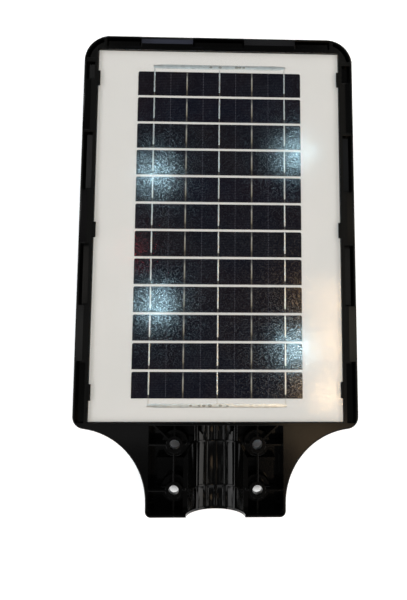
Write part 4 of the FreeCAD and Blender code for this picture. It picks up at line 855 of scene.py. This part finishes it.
def build_spring(bm):
    """The button's return spring: round wire, wound a little closer at both ends."""
    low, high = box_of("button_spring")
    centre = (low + high) / 2
    reach = (high.x - low.x) / 2 - SPRING_WIRE
    climb = high.z - low.z - 2 * SPRING_WIRE
    rings = []
    for step in range(SPRING_STEPS + 1):
        share = step / SPRING_STEPS
        rise = share - SPRING_CLOSING * math.sin(2 * math.pi * share) / (2 * math.pi)
        turned = 2 * math.pi * SPRING_TURNS * share
        outward = Vector((math.cos(turned), math.sin(turned), 0))
        middle = Vector((centre.x, centre.y, low.z + SPRING_WIRE + climb * rise)) + outward * reach
        ring = []
        for side in range(SPRING_SIDES):
            angle = 2 * math.pi * side / SPRING_SIDES
            offset = outward * math.cos(angle) + Vector((0, 0, math.sin(angle)))
            ring.append(bm.verts.new(middle + offset * SPRING_WIRE))
        rings.append(ring)
    for a, b in zip(rings, rings[1:]):
        bridge(bm, a, b)
    bm.faces.new(rings[0])
    bm.faces.new(list(reversed(rings[-1])))


spring = mesh_piece("return_spring", "lamp", [FINISHES["spring"]], build_spring, smooth_angle=50)
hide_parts("button_spring")
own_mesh(spring)

# ------------------------------------------------------------------------------------ stage and lighting

FLOOR_HALF = 12.0
FLOOR_DROP = 0.2 * MM
FLOOR_GLOW = 0.55
# The patch under the open neck that does not glow, a painted shade left where the lamp's shadow falls: its
# middle and its half sizes.
PAINTED_SHADE_Y = -178 * MM
PAINTED_SHADE_HALF = (60 * MM, 38 * MM)


def material_floor():
    """White paper that glows a little, except in a patch under the neck: painted shade, left unlit where the
    lamp's shadow falls and seen through the neck's holes, so that the neck's inner walls do not mirror the
    glow.
    """
    f = Finish("studio_floor")
    f.feed(f.mix(f.noise(0.25, 2.0), (0.93, 0.93, 0.925), (0.95, 0.95, 0.95)), "Base Color")
    across = f.math("DIVIDE", f.math("ABSOLUTE", f.axis("X")), PAINTED_SHADE_HALF[0])
    along = f.math("DIVIDE", f.math("ABSOLUTE", f.math("SUBTRACT", f.axis("Y"), PAINTED_SHADE_Y)), PAINTED_SHADE_HALF[1])
    # Painted shade: the floor's glow is left off in a patch under the neck.
    glow_less_painted_shade = f.spread(f.math("MAXIMUM", across, along), 0.8, 1.0, 0.0, FLOOR_GLOW)
    f.feed(glow_less_painted_shade, "Emission Strength")
    f.set(Roughness=0.9, Specular_IOR_Level=0.1, Emission_Color=(1.0, 1.0, 1.0))
    return f.material


def stage():
    """The studio floor, just below the lamp's lower edge."""
    mesh = bpy.data.meshes.new("studio_floor")
    corners = [(x * FLOOR_HALF, y * FLOOR_HALF, 0) for x, y in ((-1, -1), (1, -1), (1, 1), (-1, 1))]
    mesh.from_pydata(corners, [], [(0, 1, 2, 3)])
    mesh.materials.append(material_floor())
    floor = bpy.data.objects.new("studio_floor", mesh)
    floor.location.z = -FLOOR_DROP
    bpy.context.scene.collection.objects.link(floor)
    return floor


def softbox(name, place, target, width, height, power, colour):
    """A rectangular light at place that faces target."""
    data = bpy.data.lights.new(name, "AREA")
    data.shape = "RECTANGLE"
    data.size, data.size_y = width, height
    data.energy = power
    data.color = colour
    light = bpy.data.objects.new(name, data)
    light.location = place
    light.rotation_euler = (Vector(target) - Vector(place)).to_track_quat("-Z", "Y").to_euler()
    bpy.context.scene.collection.objects.link(light)
    return light


# The photograph's camera, fitted to the grid of cell strips.
CAMERA_PLACE = Vector((-6.0, -44.8, 607.5)) * MM
CAMERA_TURN = Euler((math.radians(6.66), math.radians(-1.84), math.radians(0.31)))
LENS_MM = 36.0
SENSOR_MM = 36.0
SHIFT = (-0.0442, -0.0917)


def camera():
    """Looks down on the panel as the photograph does."""
    data = bpy.data.cameras.new("photo_camera")
    data.sensor_width = SENSOR_MM
    data.lens = LENS_MM
    data.shift_x, data.shift_y = SHIFT
    data.clip_start, data.clip_end = 0.01, 50.0
    made = bpy.data.objects.new("photo_camera", data)
    made.location = CAMERA_PLACE
    made.rotation_euler = CAMERA_TURN
    bpy.context.scene.collection.objects.link(made)
    bpy.context.scene.camera = made


# Heights (1 is straight up) between which the walls grow dim, and their brightness at those two heights.
WALLS = (0.1, 0.5, 1.0, 0.05)


def surroundings():
    """A studio whose walls are pale low down and dim towards the ceiling."""
    world = bpy.data.worlds.new("studio")
    world.use_nodes = True
    tree = world.node_tree
    place = tree.nodes.new("ShaderNodeTexCoord")
    split = tree.nodes.new("ShaderNodeSeparateXYZ")
    tree.links.new(place.outputs["Generated"], split.inputs[0])
    fall = tree.nodes.new("ShaderNodeMapRange")
    for name, value in zip(MAP_SOCKETS, WALLS):
        fall.inputs[name].default_value = value
    tree.links.new(split.outputs["Z"], fall.inputs["Value"])
    background = tree.nodes["Background"]
    background.inputs[0].default_value = (0.97, 0.98, 1.0, 1)
    tree.links.new(fall.outputs["Result"], background.inputs[1])
    return world


# Name, place (m), width and height (m), power (W) and colour of each large light.
SOFTBOXES = (
    ("left_softbox", (-1.9, -0.1, 1.2), 2.8, 0.9, 36.0, (1.0, 1.0, 1.0)),
    ("right_softbox", (1.9, -0.1, 1.2), 2.8, 0.9, 36.0, (1.0, 0.97, 0.92)),
    ("far_softbox", (0.0, 2.2, 1.15), 1.8, 1.0, 16.0, (1.0, 1.0, 1.0)),
    ("near_softbox", (0.0, -1.45, 1.2), 1.8, 0.8, 9.5, (1.0, 1.0, 1.0)),
)
SOFTBOX_TARGET = (0.0, 0.0, 0.05)
# The share of the softboxes' light that falls on the pale pieces only.
FLAGGED = 0.73


def pale_pieces():
    """The floor and the panel, which take all the light; the rest is flagged off from most of it."""
    pale = bpy.data.collections.new("fully_lit")
    for piece in (floor, film, ribbons, bus_bars, nodes["solar_cells"], nodes["panel_backsheet"]):
        pale.objects.link(piece)
    return pale


def lighting():
    """The softboxes, each as a light for everything and one for the pale pieces, and the surroundings."""
    for name, place, width, height, power, colour in SOFTBOXES:
        softbox(name, place, SOFTBOX_TARGET, width, height, power * (1.0 - FLAGGED), colour)
        rest = softbox(name + "_rest", place, SOFTBOX_TARGET, width, height, power * FLAGGED, colour)
        rest.light_linking.receiver_collection = fully_lit
    bpy.context.scene.world = surroundings()


COOL = (0.55, 0.86, 1.0)
WARM = (1.0, 0.64, 0.30)
RED = (1.0, 0.10, 0.12)

LAMP_HEIGHT = 1.9
# Where each lamp's mirrored image falls on the panel (mm), its width (m), power (W) and colour.
LAMPS = (
    (-60.0, 87.0, 0.05, 1.25, COOL),
    (76.0, 109.0, 0.05, 1.4, COOL),
    (-56.0, -36.0, 0.05, 1.35, COOL),
    (75.0, -75.0, 0.05, 1.6, COOL),
    (106.0, -32.0, 0.13, 1.6, WARM),
    (108.0, -72.0, 0.13, 1.9, WARM),
    (105.0, -116.0, 0.12, 1.9, WARM),
    (-80.0, 14.0, 0.06, 0.07, RED),
)

CARD_HEIGHT = 1.7
# Tilt of the rim's outer face and of its inner ledge (degrees).
TILT = 10.2
LEDGE_TILT = 3.5
# Where each card's mirrored image falls on the moulding (mm), the tilt of that face to X and to Y (degrees),
# the card's width and length (m), its radiance and colour.
CARDS = (
    (-126.0, 47.0, -TILT, 0.0, 0.22, 0.25, 0.12, (1.0, 0.88, 0.95)),
    (-127.0, -61.0, -TILT, 0.0, 0.22, 0.28, 0.44, (1.0, 1.0, 0.97)),
    (-123.0, 100.0, -LEDGE_TILT, 0.0, 0.10, 0.30, 0.62, (1.0, 1.0, 1.0)),
    (-123.0, 188.0, -LEDGE_TILT, 0.0, 0.10, 0.12, 0.55, (1.0, 1.0, 1.0)),
    (-124.0, -8.0, -LEDGE_TILT, 0.0, 0.10, 0.28, 0.45, (1.0, 0.95, 0.88)),
    (-118.0, 34.0, 0.0, 0.0, 0.05, 1.6, 0.26, (1.0, 0.98, 0.92)),
    (126.0, 47.0, TILT, 0.0, 0.22, 0.25, 0.30, (1.0, 0.86, 0.68)),
    (127.0, -61.0, TILT, 0.0, 0.22, 0.28, 0.75, (1.0, 0.9, 0.72)),
    (123.0, 100.0, LEDGE_TILT, 0.0, 0.10, 0.30, 0.32, (0.95, 0.97, 1.0)),
    (124.0, -8.0, LEDGE_TILT, 0.0, 0.10, 0.28, 0.40, (1.0, 0.97, 0.9)),
    (118.0, 34.0, 0.0, 0.0, 0.05, 1.6, 0.40, (1.0, 0.93, 0.82)),
    (-50.0, 219.0, 0.0, TILT, 0.28, 0.25, 1.25, (0.62, 0.68, 1.0)),
    (49.0, 219.0, 0.0, TILT, 0.28, 0.25, 0.28, (0.9, 0.9, 1.0)),
    (-85.0, -150.0, 0.0, 0.0, 0.30, 0.09, 0.20, (1.0, 1.0, 1.0)),
    (82.0, -149.0, 0.0, 0.0, 0.20, 0.08, 1.30, (1.0, 0.74, 0.45)),
    (-4.0, -181.0, 7.3, 0.0, 0.25, 0.32, 1.10, (1.0, 0.70, 0.42)),
    (7.6, -181.0, -14.0, 0.0, 0.20, 0.32, 0.40, (0.85, 1.0, 0.90)),
)


def mirrored(spot, height, tilt_x=0.0, tilt_y=0.0):
    """The place, height above the spot, that the camera sees mirrored there, on a face tilted in degrees."""
    normal = Vector((math.tan(math.radians(tilt_x)), math.tan(math.radians(tilt_y)), 1.0)).normalized()
    ray = (spot - CAMERA_PLACE).reflect(normal)
    return spot + ray * (height / ray.z)


def ceiling_lamps():
    """Small lamps whose images show as soft spots in the panel's film. They light only the pale pieces."""
    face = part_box("panel_front_film")[1][2]
    for number, (x, y, width, power, colour) in enumerate(LAMPS):
        spot = Vector((x * MM, y * MM, face))
        place = mirrored(spot, LAMP_HEIGHT)
        lamp = softbox("ceiling_lamp_%d" % number, place, spot, width, width, power, colour)
        lamp.light_linking.receiver_collection = fully_lit


def rim_cards():
    """Dim cards, facing straight down, whose images show in the glossy faces of the rim and the neck."""
    for number, (x, y, tilt_x, tilt_y, width, length, radiance, colour) in enumerate(CARDS):
        spot = Vector((x * MM, y * MM, cad_high.z))
        place = mirrored(spot, CARD_HEIGHT, tilt_x, tilt_y)
        power = radiance * math.pi * width * length
        card = softbox("rim_card_%d" % number, place, spot, width, length, power, colour)
        card.rotation_euler = (0.0, 0.0, 0.0)


floor = stage()
camera()
fully_lit = pale_pieces()
lighting()
ceiling_lamps()
rim_cards()
bpy.context.scene.view_settings.view_transform = "Standard"
